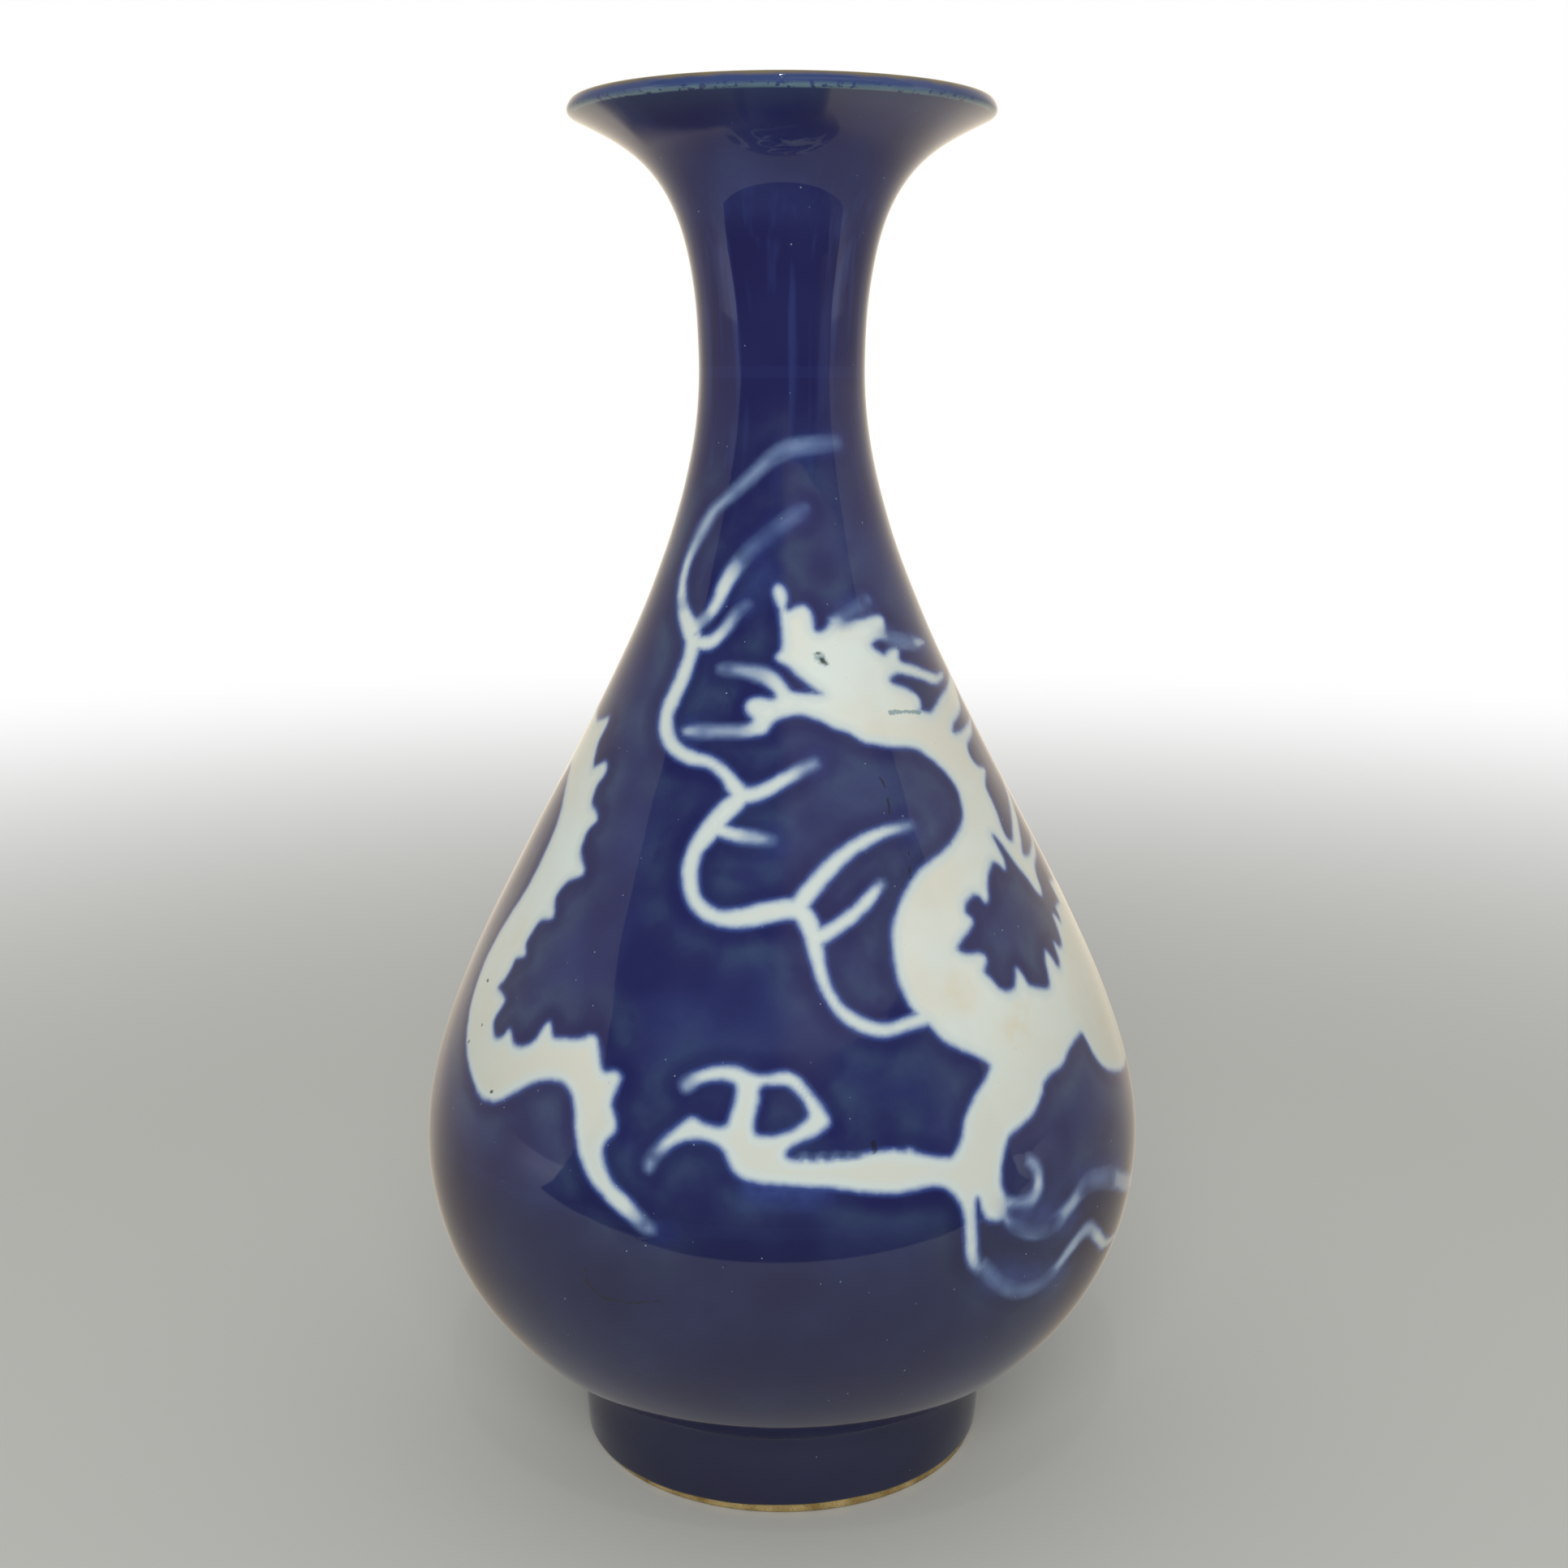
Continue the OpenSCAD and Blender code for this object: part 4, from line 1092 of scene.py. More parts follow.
    def cracks(self, tree: Any, at: Any, colour: Any, drawing: Drawing) -> Any:
        """Draws the few veins, cracks and iron pits at their places.

        Args:
            tree: the material's tree.
            at: the place on the vase.
            colour: the glaze's colour.
            drawing: finds the marks' ends on the vase.

        Returns:
            The marked colour.
        """
        ragged = add(tree, NOISE, {"Vector": at, "Scale": per_mm(self.crack_edge), "Detail": 2.0})
        turn = per_mm(self.crack_turn)
        wander = add(tree, NOISE, {"Vector": at, "Scale": turn, "Detail": 1.0}, "Color")
        wander = add(tree, VECTOR, {0: wander, 1: (0.5, 0.5, 0.5)}, operation="SUBTRACT")
        at = add(tree, VECTOR, {
            0: wander, 1: (self.crack_wander * MM,) * 3, 2: at,
        }, operation="MULTIPLY_ADD")
        veins = [(mark, self.thin) for mark in MARKS[Flaw.VEIN]]
        for mark, tone in veins + [(mark, self.iron) for mark in MARKS[Flaw.CRACK]]:
            start, end = drawing.ends(mark)
            way = (end - start) * MM
            apart = add(tree, VECTOR, {0: at, 1: tuple(start * MM)}, operation="SUBTRACT")
            if way.any():
                unit = tuple(way / (way @ way))
                along = add(tree, VECTOR, {0: apart, 1: unit}, "Value", operation="DOT_PRODUCT")
                along = add(tree, MATH, {0: along, 1: 1.0}, operation="MULTIPLY", use_clamp=True)
                foot = add(tree, VECTOR, {0: tuple(way), "Scale": along}, operation="SCALE")
                apart = add(tree, VECTOR, {0: apart, 1: foot}, operation="SUBTRACT")
            away = add(tree, VECTOR, {0: apart}, "Value", operation="LENGTH")
            away = add(tree, MATH, {0: ragged, 1: -mark.reach * MM, 2: away}, operation="MULTIPLY_ADD")
            share = add(tree, RANGE, {
                "Value": away, "From Min": 0.6 * mark.reach * MM, "From Max": 0.0, "To Max": mark.amount,
            }, interpolation_type=SMOOTH)
            colour = add(tree, MIX, {SHARE: share, BELOW: colour, ABOVE: linear(tone)}, MIXED, **COLOURS)
        return colour


@dataclass(frozen=True)
class ClearGlaze:
    """Clear glaze poured over pale stoneware: glossy, faintly green, with iron specks showing through."""

    body: str = "#c4c4b2"
    shade: str = "#aeb3a4"
    speck: str = "#6f5f40"
    buff: str = "#75694c"
    rough: float = 0.07
    ior: float = 1.5
    cloud: float = 12.0
    grit: float = 2.2
    relief: float = 0.05
    bare: tuple[float, float] = (-1.6, -0.6)

    def material(self) -> bpy.types.Material:
        """Builds the finish, with bare clay showing through along the lip's crest.

        Returns:
            The material.
        """
        made, tree = bare_material("clear_glaze_over_stoneware")
        at = add(tree, "ShaderNodeTexCoord", out="Object")
        cloud = add(tree, NOISE, {"Vector": at, "Scale": per_mm(self.cloud), "Detail": 4.0})
        away = add(tree, CELLS, {"Vector": at, "Scale": per_mm(self.grit)}, "Distance")
        dot = add(tree, MATH, {0: away, 1: 0.1}, operation="LESS_THAN")
        dot = add(tree, MATH, {0: dot, 1: 0.5}, operation="MULTIPLY")
        rim = add(tree, ATTRIBUTE, out="Fac", attribute_name=Trait.RIM.value)
        inside = add(tree, MATH, {0: rim, 1: -0.01}, operation="LESS_THAN")
        start, end = self.bare
        edge = add(tree, RANGE, {
            "Value": rim, "From Min": start, "From Max": end,
        }, interpolation_type=SMOOTH)
        edge = add(tree, MATH, {0: edge, 1: inside}, operation="MULTIPLY")
        colour: Any = linear(self.body)
        for share, tone in ((cloud, self.shade), (dot, self.speck), (edge, self.buff)):
            colour = add(tree, MIX, {SHARE: share, BELOW: colour, ABOVE: linear(tone)}, MIXED, **COLOURS)
        bump = add(tree, BUMP, {"Strength": 0.15, "Distance": self.relief * MM, "Height": cloud})
        shader = add(tree, "ShaderNodeBsdfPrincipled", {
            "Base Color": colour, "Roughness": self.rough, "IOR": self.ior, "Normal": bump,
        })
        add(tree, "ShaderNodeOutputMaterial", {0: shader})
        return made


@dataclass(frozen=True)
class Biscuit:
    """Bare fired stoneware: matt, sandy buff clay with dark grit, rubbed smooth on a wet wheel."""

    name: str = "bare_stoneware"
    light: str = "#b09a68"
    dark: str = "#86703f"
    grit: str = "#5a4527"
    rough: float = 0.82
    cloud: float = 5.0
    grain: float = 0.7
    relief: float = 0.15

    def material(self) -> bpy.types.Material:
        """Builds the finish.

        Returns:
            The material.
        """
        made, tree = bare_material(self.name)
        at = add(tree, "ShaderNodeTexCoord", out="Object")
        cloud = add(tree, NOISE, {"Vector": at, "Scale": per_mm(self.cloud), "Detail": 5.0})
        cloud = add(tree, RANGE, {"Value": cloud, "From Min": 0.35, "From Max": 0.65})
        away = add(tree, CELLS, {"Vector": at, "Scale": per_mm(self.grain)}, "Distance")
        dot = add(tree, MATH, {0: away, 1: 0.22}, operation="LESS_THAN")
        dot = add(tree, MATH, {0: dot, 1: 0.6}, operation="MULTIPLY")
        colour: Any = linear(self.light)
        for share, tone in ((cloud, self.dark), (dot, self.grit)):
            colour = add(tree, MIX, {SHARE: share, BELOW: colour, ABOVE: linear(tone)}, MIXED, **COLOURS)
        bump = add(tree, BUMP, {"Strength": 0.5, "Distance": self.relief * MM, "Height": away})
        shader = add(tree, "ShaderNodeBsdfPrincipled", {
            "Base Color": colour, "Roughness": self.rough, "Normal": bump,
        })
        add(tree, "ShaderNodeOutputMaterial", {0: shader})
        return made


def piece(name: str, mesh: bpy.types.Mesh, node: str) -> bpy.types.Object:
    """Makes a mesh a piece of the vase.

    Args:
        name: the piece's name.
        mesh: its mesh, in place.
        node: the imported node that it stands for.

    Returns:
        The piece.
    """
    mesh.name = name
    made = bpy.data.objects.new(name, mesh)
    bpy.context.scene.collection.objects.link(made)
    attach(made, "root")
    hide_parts(node)
    LOG.info("%s: %d vertices, %d faces", name, len(mesh.vertices), len(mesh.polygons))
    return made


class Skin:
    """A turned sheet whose parts are given a thickness, with shading that runs on from part to part."""

    def __init__(self, sheet: bpy.types.Mesh, finish: bpy.types.Material, inward: bool = False) -> None:
        """Reads the sheet and points its faces.

        Args:
            sheet: the sheet's mesh, which is removed.
            finish: the material of its parts.
            inward: whether the seen side faces the axis.
        """
        self.points = points_of(sheet)
        self.traits = {trait: read(sheet, trait) for trait in Trait}
        self.finish = finish
        loops = np.zeros(len(sheet.loops), np.int32)
        sheet.loops.foreach_get("vertex_index", loops)
        starts = np.zeros(len(sheet.polygons), np.int32)
        sheet.polygons.foreach_get("loop_start", starts)
        self.faces = [tuple(face.tolist()) for face in np.split(loops, starts[1:])]
        bpy.data.meshes.remove(sheet)
        self.normals = self.smooth_normals()
        outward = (self.normals[:, :2] * self.points[:, :2]).sum() > 0
        if outward == inward:
            self.faces = [face[::-1] for face in self.faces]
            self.normals = -self.normals
        self.normals[np.abs(self.traits[Trait.RIM]) < AT_CREST] = (0, 0, 1)

    def smooth_normals(self) -> np.ndarray:
        """Takes the mean direction of the faces at each vertex, by their areas.

        Returns:
            A unit direction for each vertex.
        """
        total = np.zeros_like(self.points)
        for face in self.faces:
            ring = self.points[list(face)]
            area = np.cross(ring[1:-1] - ring[0], ring[2:] - ring[0]).sum(0)
            total[list(face)] += area
        return total / np.maximum(np.linalg.norm(total, axis=1), TINY)[:, None]

    def shell(self, chosen: list[int], depth: float) -> bpy.types.Mesh:
        """Makes a closed mesh of some faces, with a thickness behind their seen side.

        Args:
            chosen: the faces' places.
            depth: the thickness in millimetres.

        Returns:
            The mesh, with the sheet's values at its vertices.
        """
        used = sorted({v for f in chosen for v in self.faces[f]})
        place = {v: i for i, v in enumerate(used)}
        count = len(used)
        front = [tuple(place[v] for v in self.faces[f]) for f in chosen]
        sides = {(f[i - 1], f[i]) for f in front for i in range(len(f))}
        open_sides = [(a, b) for a, b in sides if (b, a) not in sides]
        back = [tuple(v + count for v in reversed(f)) for f in front]
        rim = [(b, a, a + count, b + count) for a, b in sorted(open_sides)]
        top, normal = self.points[used], self.normals[used]
        low = top - normal * depth
        mesh = bpy.data.meshes.new("shell")
        mesh.from_pydata((np.concatenate([top, low]) * MM).tolist(), [], front + back + rim)
        mesh.shade_smooth()
        both = np.concatenate([normal, -normal])
        turns = [both[v] for f in front + back for v in f]
        for b, a, c, _ in rim:
            flat = np.cross(top[a] - top[b], low[c - count] - top[b])
            turns += [flat / max(np.linalg.norm(flat), TINY)] * 4
        mesh.normals_split_custom_set(np.array(turns).tolist())
        mesh.materials.append(self.finish)
        for trait, values in self.traits.items():
            write(mesh, trait, np.concatenate([values[used], values[used]]))
        return mesh


@dataclass
class OuterGlaze:
    """The blue coat and the white leaves of the dragon that lie flush in it.

    Each band gives a distance from the dragon's outline and the longest edge that is left within it.
    Low and high bound the dragon. The glaze line drops on the foot's left and wanders in waves, each
    with a height, a count and a start, and the drop ends at its top. All lengths are in millimetres.
    """

    form: VaseForm
    wheel: Wheel
    drawing: Drawing
    finish: bpy.types.Material
    bands: tuple[tuple[float, float], ...] = ((2.6, 1.6), (1.3, 0.75))
    low: float = 45.0
    high: float = 240.0
    glaze_drop: float = 1.4
    drop_top: float = 9.0
    drop_turn: float = 0.12
    drop_round: float = 1.5
    waves: tuple[tuple[float, int, float], ...] = ((0.16, 3, 0.8), (0.09, 7, 0.0), (0.05, 17, 2.0))

    def build(self) -> list[bpy.types.Object]:
        """Turns the coat, cuts the dragon out of it and gives each part its thickness.

        Returns:
            The blue coat and the leaves.
        """
        line, rim = self.form.outer_rows()
        sheet = self.wheel.turn("coat", line, rim, self.finish)
        form = bmesh.new()
        form.from_mesh(sheet)
        slip = form.verts.layers.float.new(Trait.SLIP.value)
        self.refine(form, slip)
        self.cut(form, slip)
        self.lower_glaze_line(form)
        parts = self.part(form, slip)
        form.to_mesh(sheet)
        form.free()
        self.mark(sheet)
        skin = Skin(self.wheel.throw(sheet, self.finish), self.finish)
        made = []
        for name, faces in parts.items():
            mesh = skin.shell(faces, self.form.blue_t)
            blue = name == "blue_glaze"
            title = "blue_coat" if blue else f"white_{name}"
            made.append(piece(title, mesh, name))
        return made

    def refine(self, form: bmesh.types.BMesh, slip: Any) -> None:
        """Makes the mesh finer along the dragon's outline and writes each vertex's depth in the slip.

        Args:
            form: the coat's sheet.
            slip: the layer that gets the depths.
        """
        self.measure(form, slip, math.inf)
        for band, size in self.bands:
            chosen = [
                e for e in form.edges
                if min(abs(v[slip]) for v in e.verts) < band and e.calc_length() > size * MM
            ]
            bmesh.ops.subdivide_edges(form, edges=chosen, cuts=1, use_grid_fill=True)
            for v in form.verts:
                if abs(v[slip]) < 2 * band and self.low < v.co.z / MM < self.high:
                    v.co.xy = v.co.xy.normalized() * float(self.drawing.radius(v.co.z / MM)) * MM
            self.measure(form, slip, 2 * band)

    def measure(self, form: bmesh.types.BMesh, slip: Any, reach: float) -> None:
        """Measures the depths of the vertices that lie within a reach of the outline.

        Args:
            form: the coat's sheet.
            slip: the layer that gets the depths.
            reach: the greatest depth so far that is measured anew.
        """
        for v in form.verts:
            if not self.low < v.co.z / MM < self.high:
                v[slip] = -self.drawing.reach
            elif abs(v[slip]) < reach:
                v[slip] = self.drawing.depth(v.co / MM)

    def cut(self, form: bmesh.types.BMesh, slip: Any, close: float = 0.14) -> None:
        """Splits edges and faces along the outline.

        Args:
            form: the coat's sheet.
            slip: the layer of depths.
            close: share of an edge within which an end counts as lying on the outline.
        """
        for e in form.edges:
            a, b = e.verts
            if a[slip] * b[slip] < 0:
                share = a[slip] / (a[slip] - b[slip])
                if share < close:
                    a[slip] = 0.0
                elif share > 1 - close:
                    b[slip] = 0.0
        for e in [e for e in form.edges if e.verts[0][slip] * e.verts[1][slip] < 0]:
            a, b = e.verts
            _, made = bmesh.utils.edge_split(e, a, a[slip] / (a[slip] - b[slip]))
            made[slip] = 0.0
        todo = list(form.faces)
        while todo:
            face = todo.pop()
            depths = [v[slip] for v in face.verts]
            if min(depths) >= 0 or max(depths) <= 0:
                continue
            count = len(depths)
            zeros = [i for i in range(count) if depths[i] == 0]
            pairs = [(i, j) for i in zeros for j in zeros if 1 < j - i < count - 1]
            for i, j in pairs:
                side = depths[i + 1:j]
                if min(side) >= 0 or max(side) <= 0:
                    other, _ = bmesh.utils.face_split(face, face.verts[i], face.verts[j])
                    todo += [face, other]
                    break

    def lower_glaze_line(self, form: bmesh.types.BMesh) -> None:
        """Lets the glaze line wander and run lower on the foot's left side.

        Args:
            form: the coat's sheet.
        """
        bare = self.form.foot_bare
        for v in form.verts:
            z = v.co.z / MM
            if z < self.drop_top:
                angle = math.atan2(v.co.x, -v.co.y)
                left = max(0.0, -math.sin(angle + self.drop_turn)) ** self.drop_round
                wander = sum(size * math.sin(times * angle + start) for size, times, start in self.waves)
                fade = max(0.0, 1 - (z - bare) / (self.drop_top - bare)) ** 2
                v.co.z += (wander - self.glaze_drop * left) * fade * MM

    def part(self, form: bmesh.types.BMesh, slip: Any) -> dict[str, list[int]]:
        """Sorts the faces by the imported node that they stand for.

        Args:
            form: the coat's cut sheet.
            slip: the layer of depths.

        Returns:
            The faces' places by the node's name.
        """
        parts: dict[str, list[int]] = {name: [] for name in ("blue_glaze", *LEAVES)}
        for place, face in enumerate(form.faces):
            if sum(v[slip] for v in face.verts) > 0:
                parts[LEAVES[self.drawing.leaf_at(face.calc_center_median() / MM)]].append(place)
            else:
                parts["blue_glaze"].append(place)
        return parts

    def mark(self, sheet: bpy.types.Mesh) -> None:
        """Writes where the white fades, where it runs into the blue and where it is stained.

        Args:
            sheet: the coat's mesh.
        """
        points = points_of(sheet)
        for trait, flaw in ((Trait.FADE, Flaw.FADE), (Trait.HAZE, Flaw.HAZE), (Trait.STAIN, Flaw.STAIN)):
            write(sheet, trait, self.drawing.marked(points, flaw))


@dataclass
class Lining:
    """The clear glaze inside the vase, up to the lip's crest."""

    form: VaseForm
    wheel: Wheel
    finish: bpy.types.Material

    def build(self) -> bpy.types.Object:
        """Turns the lining and gives it its thickness, towards the clay.

        Returns:
            The lining.
        """
        line, rim = self.form.inner_rows()
        skin = Skin(self.wheel.turn("lining", line, rim, self.finish), self.finish, inward=True)
        mesh = skin.shell(list(range(len(skin.faces))), self.form.clear_t)
        return piece("clear_lining", mesh, "inner_glaze")


@dataclass
class Foot:
    """The bare foot ring, worn round at its lower edges."""

    form: VaseForm
    wheel: Wheel
    finish: bpy.types.Material
    sharp: float = 50.0

    def build(self) -> bpy.types.Object:
        """Turns the ring from its closed profile.

        Returns:
            The foot ring.
        """
        line = self.form.foot_rows()
        mesh = self.wheel.turn("ring", line, np.full(len(line), self.form.height), self.finish)
        shape = bmesh.new()
        shape.from_mesh(mesh)
        bmesh.ops.recalc_face_normals(shape, faces=shape.faces)
        shape.to_mesh(mesh)
        shape.free()
        mesh.set_sharp_from_angle(angle=math.radians(self.sharp))
        return piece("turned_foot", mesh, "foot_ring")


@dataclass(frozen=True)
class Card:
    """A curved card about the vase, seen only in its gloss.

    The outline gives, row by row, a distance and a height in metres and the card's left and right
    ends in degrees from the front. A card that lies on reaches over the floor towards the vase, and
    soft gives the degrees over which the left and right ends fade. A card with two soft ends fades
    in its first and last rows too.
    """

    name: str
    tone: str
    glow: float
    outline: tuple[tuple[float, float, float, float], ...]
    lies_on: bool = False
    soft: tuple[float, float] = (0.0, 0.0)


@dataclass
class Studio:
    """A plain pale floor, soft light, cards about the vase and the camera.

    Lengths are in metres, angles in degrees and the lamps' powers in watts. Pairs are where a change
    starts and ends. Gloss sees an even light: its level low down, its rise to the back and what the
    right side adds, and the most that the floor gives it, near and far.
    """

    floor_r: float = 4.0
    floor_z: float = -0.0002
    floor_sides: int = 96
    floor_tone: str = "#d8d8d2"
    floor_fade: tuple[float, float] = (0.25, 1.3)
    gloss_tone: str = "#fff1da"
    gloss_low: float = 0.43
    gloss_rise: float = 0.75
    gloss_power: float = 3.0
    gloss_right: float = 0.22
    gloss_side: tuple[float, float] = (0.1, 0.5)
    gloss_sky: tuple[float, float] = (-0.02, 0.06)
    gloss_back: tuple[float, float] = (-0.3, 0.1)
    gloss_off: tuple[float, float] = (0.05, 0.08)
    gloss_reach: tuple[float, float] = (0.3, 0.9)
    gloss_most: tuple[float, float] = (0.62, 1.2)
    daylight: float = 0.45
    front_w: float = 16.5
    front_size: float = 1.1
    front_at: tuple[float, float, float] = (-0.05, -1.6, 0.9)
    front_tilt: float = 65.0
    small_w: float = 0.5
    small_size: float = 0.03
    small_at: tuple[float, float, float] = (-0.01, -0.75, 1.45)
    small_tilt: float = 27.0
    near: float = 0.196
    near_z: float = 0.031
    near_bend: float = 0.85
    card_glow: str = "#fff0e0"
    columns: int = 40
    distance: float = 0.430
    eye_z: float = 0.24116
    pitch: float = 11.52
    lens: float = 44.57
    shift: float = 0.0013
    cards: tuple[Card, ...] = (
        Card("dark_card", "#17171a", 0.0, (
            (0.95, 0.0, -70, 58), (0.95, 0.3, -57, 56), (0.95, 0.5, -63, 56), (0.95, 0.65, -71, 56),
            (0.95, 0.8, -79, 56), (0.95, 1.9, -82, 56),
        ), lies_on=True),
        Card("warm_card", "#2a2522", 0.2, (
            (0.94, 0.0, 46, 73), (0.94, 0.3, 44, 67), (0.94, 0.6, 40, 72), (0.94, 1.9, 40, 78),
        ), lies_on=True, soft=(14, 0)),
        Card("pale_card", "#2a2826", 0.42, (
            (0.93, 0.36, 2, 10), (0.93, 0.44, -4, 14), (0.93, 0.56, -4, 20), (0.93, 0.62, -4, 74),
            (0.93, 1.08, -5, 74), (0.93, 1.25, -4, 66),
        ), soft=(12, 16)),
        Card("back_card", "#17171a", 0.12, (
            (0.008, 0.225, -110, -40), (0.015, 0.225, -112, -44), (0.024, 0.225, -114, -58),
            (0.032, 0.225, -118, -72), (0.042, 0.225, -122, -84),
            (0.055, 0.225, -126, -98), (0.07, 0.225, -131, -110), (0.085, 0.225, -135, -118),
            (0.105, 0.225, -140, -126), (0.125, 0.225, -143, -132), (0.15, 0.225, -145, -138),
        ), soft=(5, 8)),
    )

    def build(self) -> None:
        """Builds all of it."""
        self.floor()
        for card in self.cards:
            self.card(card)
        self.light()
        self.camera()

    def stand(self, name: str, points: list[Any], faces: list[Any], material: bpy.types.Material) -> Any:
        """Makes a piece of the stage.

        Args:
            name: its name.
            points: its points in metres.
            faces: its faces, as places in the points.
            material: its material.

        Returns:
            The piece.
        """
        mesh = bpy.data.meshes.new(name)
        mesh.from_pydata(points, [], faces)
        mesh.materials.append(material)
        made = bpy.data.objects.new(name, mesh)
        bpy.context.scene.collection.objects.link(made)
        return made

    def floor(self) -> None:
        """Lays a round floor that fades to white far from the vase, and evens it out for gloss."""
        made, tree = bare_material("pale_floor")
        at = add(tree, "ShaderNodeTexCoord", out="Object")
        far = add(tree, VECTOR, {0: at}, "Value", operation="LENGTH")
        way = add(tree, VECTOR, {0: at}, operation="NORMALIZE")
        back = add(tree, "ShaderNodeSeparateXYZ", {0: way}, "Y")
        faded, behind, off = (
            add(tree, RANGE, {
                "Value": value, "From Min": start, "From Max": end,
            }, interpolation_type=SMOOTH)
            for value, (start, end) in (
                (far, self.floor_fade), (back, self.gloss_back), (far, self.gloss_off),
            )
        )
        matt = add(tree, "ShaderNodeBsdfDiffuse", {"Color": linear(self.floor_tone)})
        white = add(tree, "ShaderNodeEmission", {"Color": (1, 1, 1, 1), "Strength": 1.0})
        laid = add(tree, "ShaderNodeMixShader", {0: faded, 1: matt, 2: white})
        share = add(tree, "ShaderNodeLightPath", out="Is Glossy Ray")
        for part in (behind, off):
            share = add(tree, MATH, {0: share, 1: part}, operation="MULTIPLY")
        (start, end), (first, last) = self.gloss_reach, self.gloss_most
        most = add(tree, RANGE, {
            "Value": far, "From Min": start, "From Max": end, "To Min": first, "To Max": last,
        })
        level = add(tree, MATH, {0: self.gloss_level(tree, back), 1: most}, operation="MINIMUM")
        glow = add(tree, "ShaderNodeEmission", {"Color": linear(self.gloss_tone), "Strength": level})
        laid = add(tree, "ShaderNodeMixShader", {0: share, 1: laid, 2: glow})
        add(tree, "ShaderNodeOutputMaterial", {0: laid})
        turns = [math.tau * i / self.floor_sides for i in range(self.floor_sides)]
        ring = [(self.floor_r * math.cos(a), self.floor_r * math.sin(a), self.floor_z) for a in turns]
        self.stand("floor", ring, [list(range(self.floor_sides))], made)

    def gloss_level(self, tree: Any, back: Any) -> Any:
        """Gives the brightness that gloss sees, rising towards the back.

        Args:
            tree: the tree of the floor or the sky.
            back: the share of the direction that points to the back.

        Returns:
            The brightness.
        """
        rise = add(tree, MATH, {0: back, 1: 0.0}, operation="MAXIMUM")
        rise = add(tree, MATH, {0: rise, 1: self.gloss_power}, operation="POWER")
        return add(tree, MATH, {0: rise, 1: self.gloss_rise, 2: self.gloss_low}, operation="MULTIPLY_ADD")

    def card(self, card: Card) -> None:
        """Stands one card up, to be seen only from the vase's side, which is its back.

        Args:
            card: the card's sizes.
        """
        made, tree = bare_material(card.name)
        fade = add(tree, ATTRIBUTE, out="Fac", attribute_name=Trait.FADE.value)
        inside = add(tree, "ShaderNodeNewGeometry", out="Backfacing")
        shader = add(tree, "ShaderNodeBsdfPrincipled", {
            "Base Color": linear(card.tone), "Roughness": 1.0, "Specular IOR Level": 0.0,
            "Emission Color": linear(self.card_glow), "Emission Strength": card.glow,
            "Alpha": add(tree, MATH, {0: fade, 1: inside}, operation="MULTIPLY"),
        })
        add(tree, "ShaderNodeOutputMaterial", {0: shader})
        rows = [(0.0, *row) for row in card.outline]
        if card.lies_on:
            rows.insert(0, (self.near_bend, self.near, self.near_z, *card.outline[0][2:]))
        points = []
        for bend, r, z, left, right in rows:
            for a in np.radians(np.linspace(left, right, self.columns)):
                out = r / math.cos(bend * a)
                points.append((out * math.sin(a), -out * math.cos(a), z))
        faces = [
            (i, i + 1, i + 1 + self.columns, i + self.columns)
            for i in range(len(points) - self.columns) if (i + 1) % self.columns
        ]
        stood = self.stand(card.name, points, faces, made)
        full = np.ones((len(rows), self.columns))
        across = np.linspace(0, 1, self.columns)
        for row, (_, _, _, left, right) in zip(full, rows):
            for run, soft in ((across, card.soft[0]), (1 - across, card.soft[1])):
                row *= np.clip(run * (right - left) / soft, 0, 1) if soft else 1.0
        if all(card.soft):
            full[[0, -1]] = 0.0
        write(stood.data, Trait.FADE, full.ravel())
        stood.visible_camera = stood.visible_diffuse = stood.visible_shadow = False
        stood.visible_transmission = stood.visible_volume_scatter = False

    def light(self) -> None:
        """Sets daylight all round, a soft lamp in front that gloss doesn't see and a small lamp above."""
        world = bpy.data.worlds.new("daylight")
        bpy.context.scene.world = world
        world.use_nodes = True
        tree = world.node_tree
        tree.nodes.clear()
        path = add(tree, "ShaderNodeLightPath").node.outputs
        seen = add(tree, MATH, {
            0: path["Is Camera Ray"], 1: path["Is Transmission Ray"],
        }, operation="MAXIMUM")
        level = add(tree, RANGE, {"Value": seen, "To Min": self.daylight, "To Max": 1.0})
        way = add(tree, "ShaderNodeTexCoord", out="Generated")
        way = add(tree, "ShaderNodeSeparateXYZ", {0: way}).node.outputs
        right, above = (
            add(tree, RANGE, {"Value": way[axis], "From Min": start, "From Max": end, "To Max": most})
            for axis, (start, end), most in (
                ("X", self.gloss_side, self.gloss_right), ("Z", self.gloss_sky, 1.0),
            )
        )
        gloss = add(tree, MATH, {
            0: right, 1: above, 2: self.gloss_level(tree, way["Y"]),
        }, operation="MULTIPLY_ADD")
        level = add(tree, MIX, {0: path["Is Glossy Ray"], 2: level, 3: gloss}, data_type="FLOAT")
        tone = add(tree, MIX, {
            SHARE: path["Is Glossy Ray"], BELOW: (1, 1, 1, 1), ABOVE: linear(self.gloss_tone),
        }, MIXED, **COLOURS)
        sky = add(tree, "ShaderNodeBackground", {"Color": tone, "Strength": level})
        add(tree, "ShaderNodeOutputWorld", {0: sky})
        self.lamp("front_lamp", self.front_w, self.front_size, self.front_at, self.front_tilt, False)
        self.lamp("small_lamp", self.small_w, self.small_size, self.small_at, self.small_tilt, True)

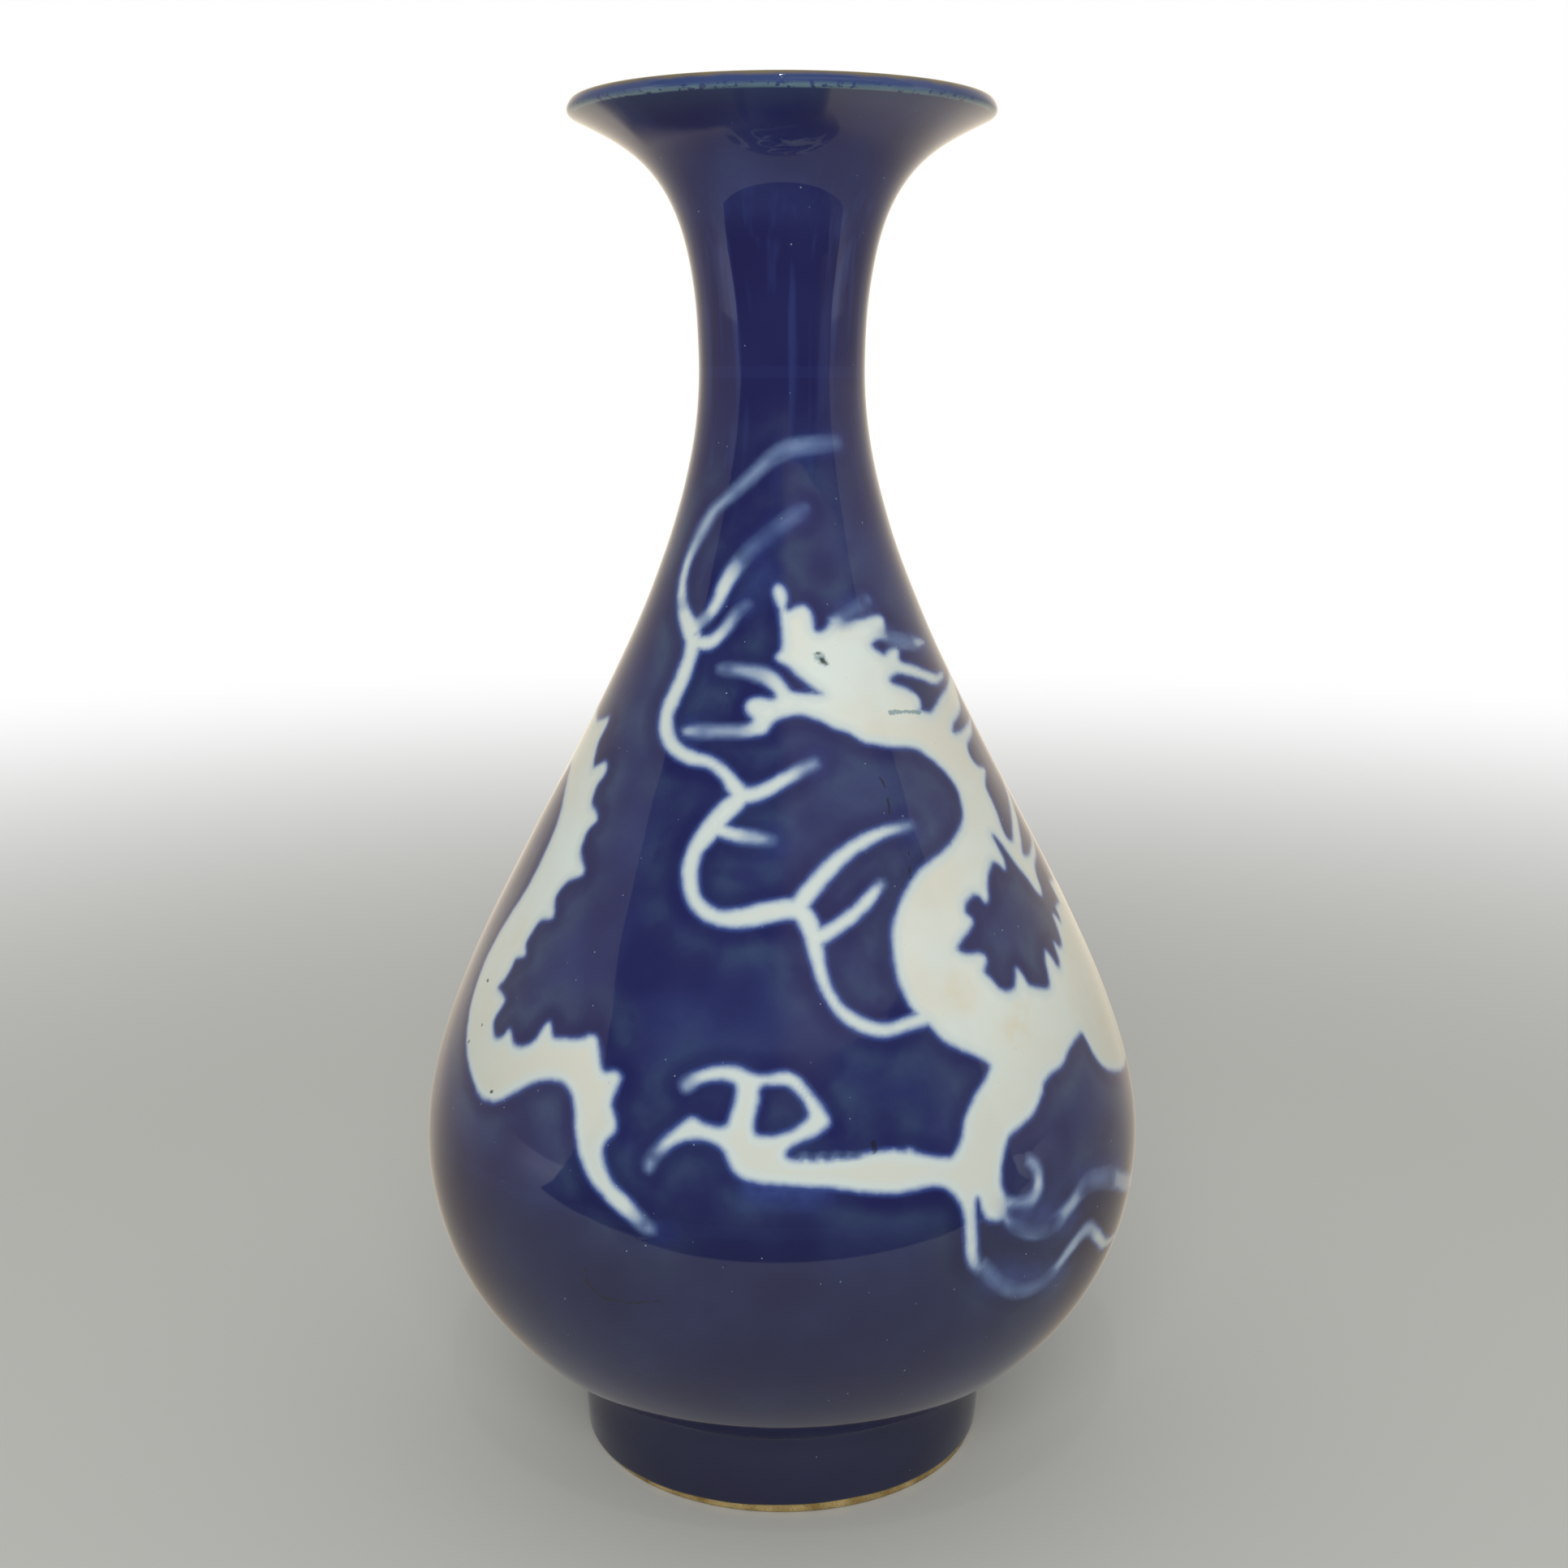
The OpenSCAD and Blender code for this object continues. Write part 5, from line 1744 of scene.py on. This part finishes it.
    def lamp(
        self, name: str, watts: float, size: float, place: tuple[float, ...], tilt: float, glints: bool
    ) -> None:
        """Hangs a round lamp.

        Args:
            name: the lamp's name.
            watts: its power.
            size: its diameter.
            place: where it hangs.
            tilt: its turn from pointing down, in degrees.
            glints: whether gloss shows it.
        """
        lamp = bpy.data.lights.new(name, "AREA")
        lamp.shape = "DISK"
        lamp.size = size
        lamp.energy = watts
        hung = bpy.data.objects.new(name, lamp)
        hung.location = place
        hung.rotation_euler = (math.radians(tilt), 0, 0)
        hung.visible_glossy = glints
        hung.visible_camera = False
        bpy.context.scene.collection.objects.link(hung)

    def camera(self) -> None:
        """Stands the camera where the photograph was taken from."""
        eye = bpy.data.cameras.new("eye")
        eye.lens = self.lens
        eye.shift_x = self.shift
        eye.clip_start = 0.01
        stood = bpy.data.objects.new("eye", eye)
        stood.location = (0, -self.distance, self.eye_z)
        stood.rotation_euler = (math.radians(90 - self.pitch), 0, 0)
        bpy.context.scene.collection.objects.link(stood)
        bpy.context.scene.camera = stood


def dress(nodes: dict[str, bpy.types.Object], finishes: dict[str, bpy.types.Material]) -> None:
    """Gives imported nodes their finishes.

    Args:
        nodes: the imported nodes.
        finishes: a finish for each node's name.
    """
    for name, finish in finishes.items():
        nodes[name].data.materials.clear()
        nodes[name].data.materials.append(finish)
        LOG.info("%s: %s", name, finish.name)


def main() -> None:
    """Builds the vase's pieces and the studio round them."""
    logging.basicConfig(level=logging.INFO, format="%(name)s %(message)s")
    bpy.context.scene.view_settings.view_transform = "Standard"
    nodes = frame["nodes"]
    form, wheel = VaseForm(), Wheel()
    drawing = Drawing(form, nodes)
    blue, clear, clay = CobaltOverSlip().material(drawing), ClearGlaze().material(), Biscuit().material()
    joint = Biscuit("fired_joint_slip", "#b7a577", "#917d4f", "#6a5533").material()
    dress(nodes, {
        **dict.fromkeys(("foot_ring", "lower_body", "upper_body", "neck_and_mouth"), clay),
        **dict.fromkeys(("foot_slip", "belly_slip", "neck_slip"), joint),
        **dict.fromkeys(("inner_glaze", "base_glaze"), clear),
        **dict.fromkeys(("blue_glaze", *LEAVES), blue),
    })
    OuterGlaze(form, wheel, drawing, blue).build()
    Lining(form, wheel, clear).build()
    Foot(form, wheel, clay).build()
    Studio().build()


if __name__ == "__main__":
    main()
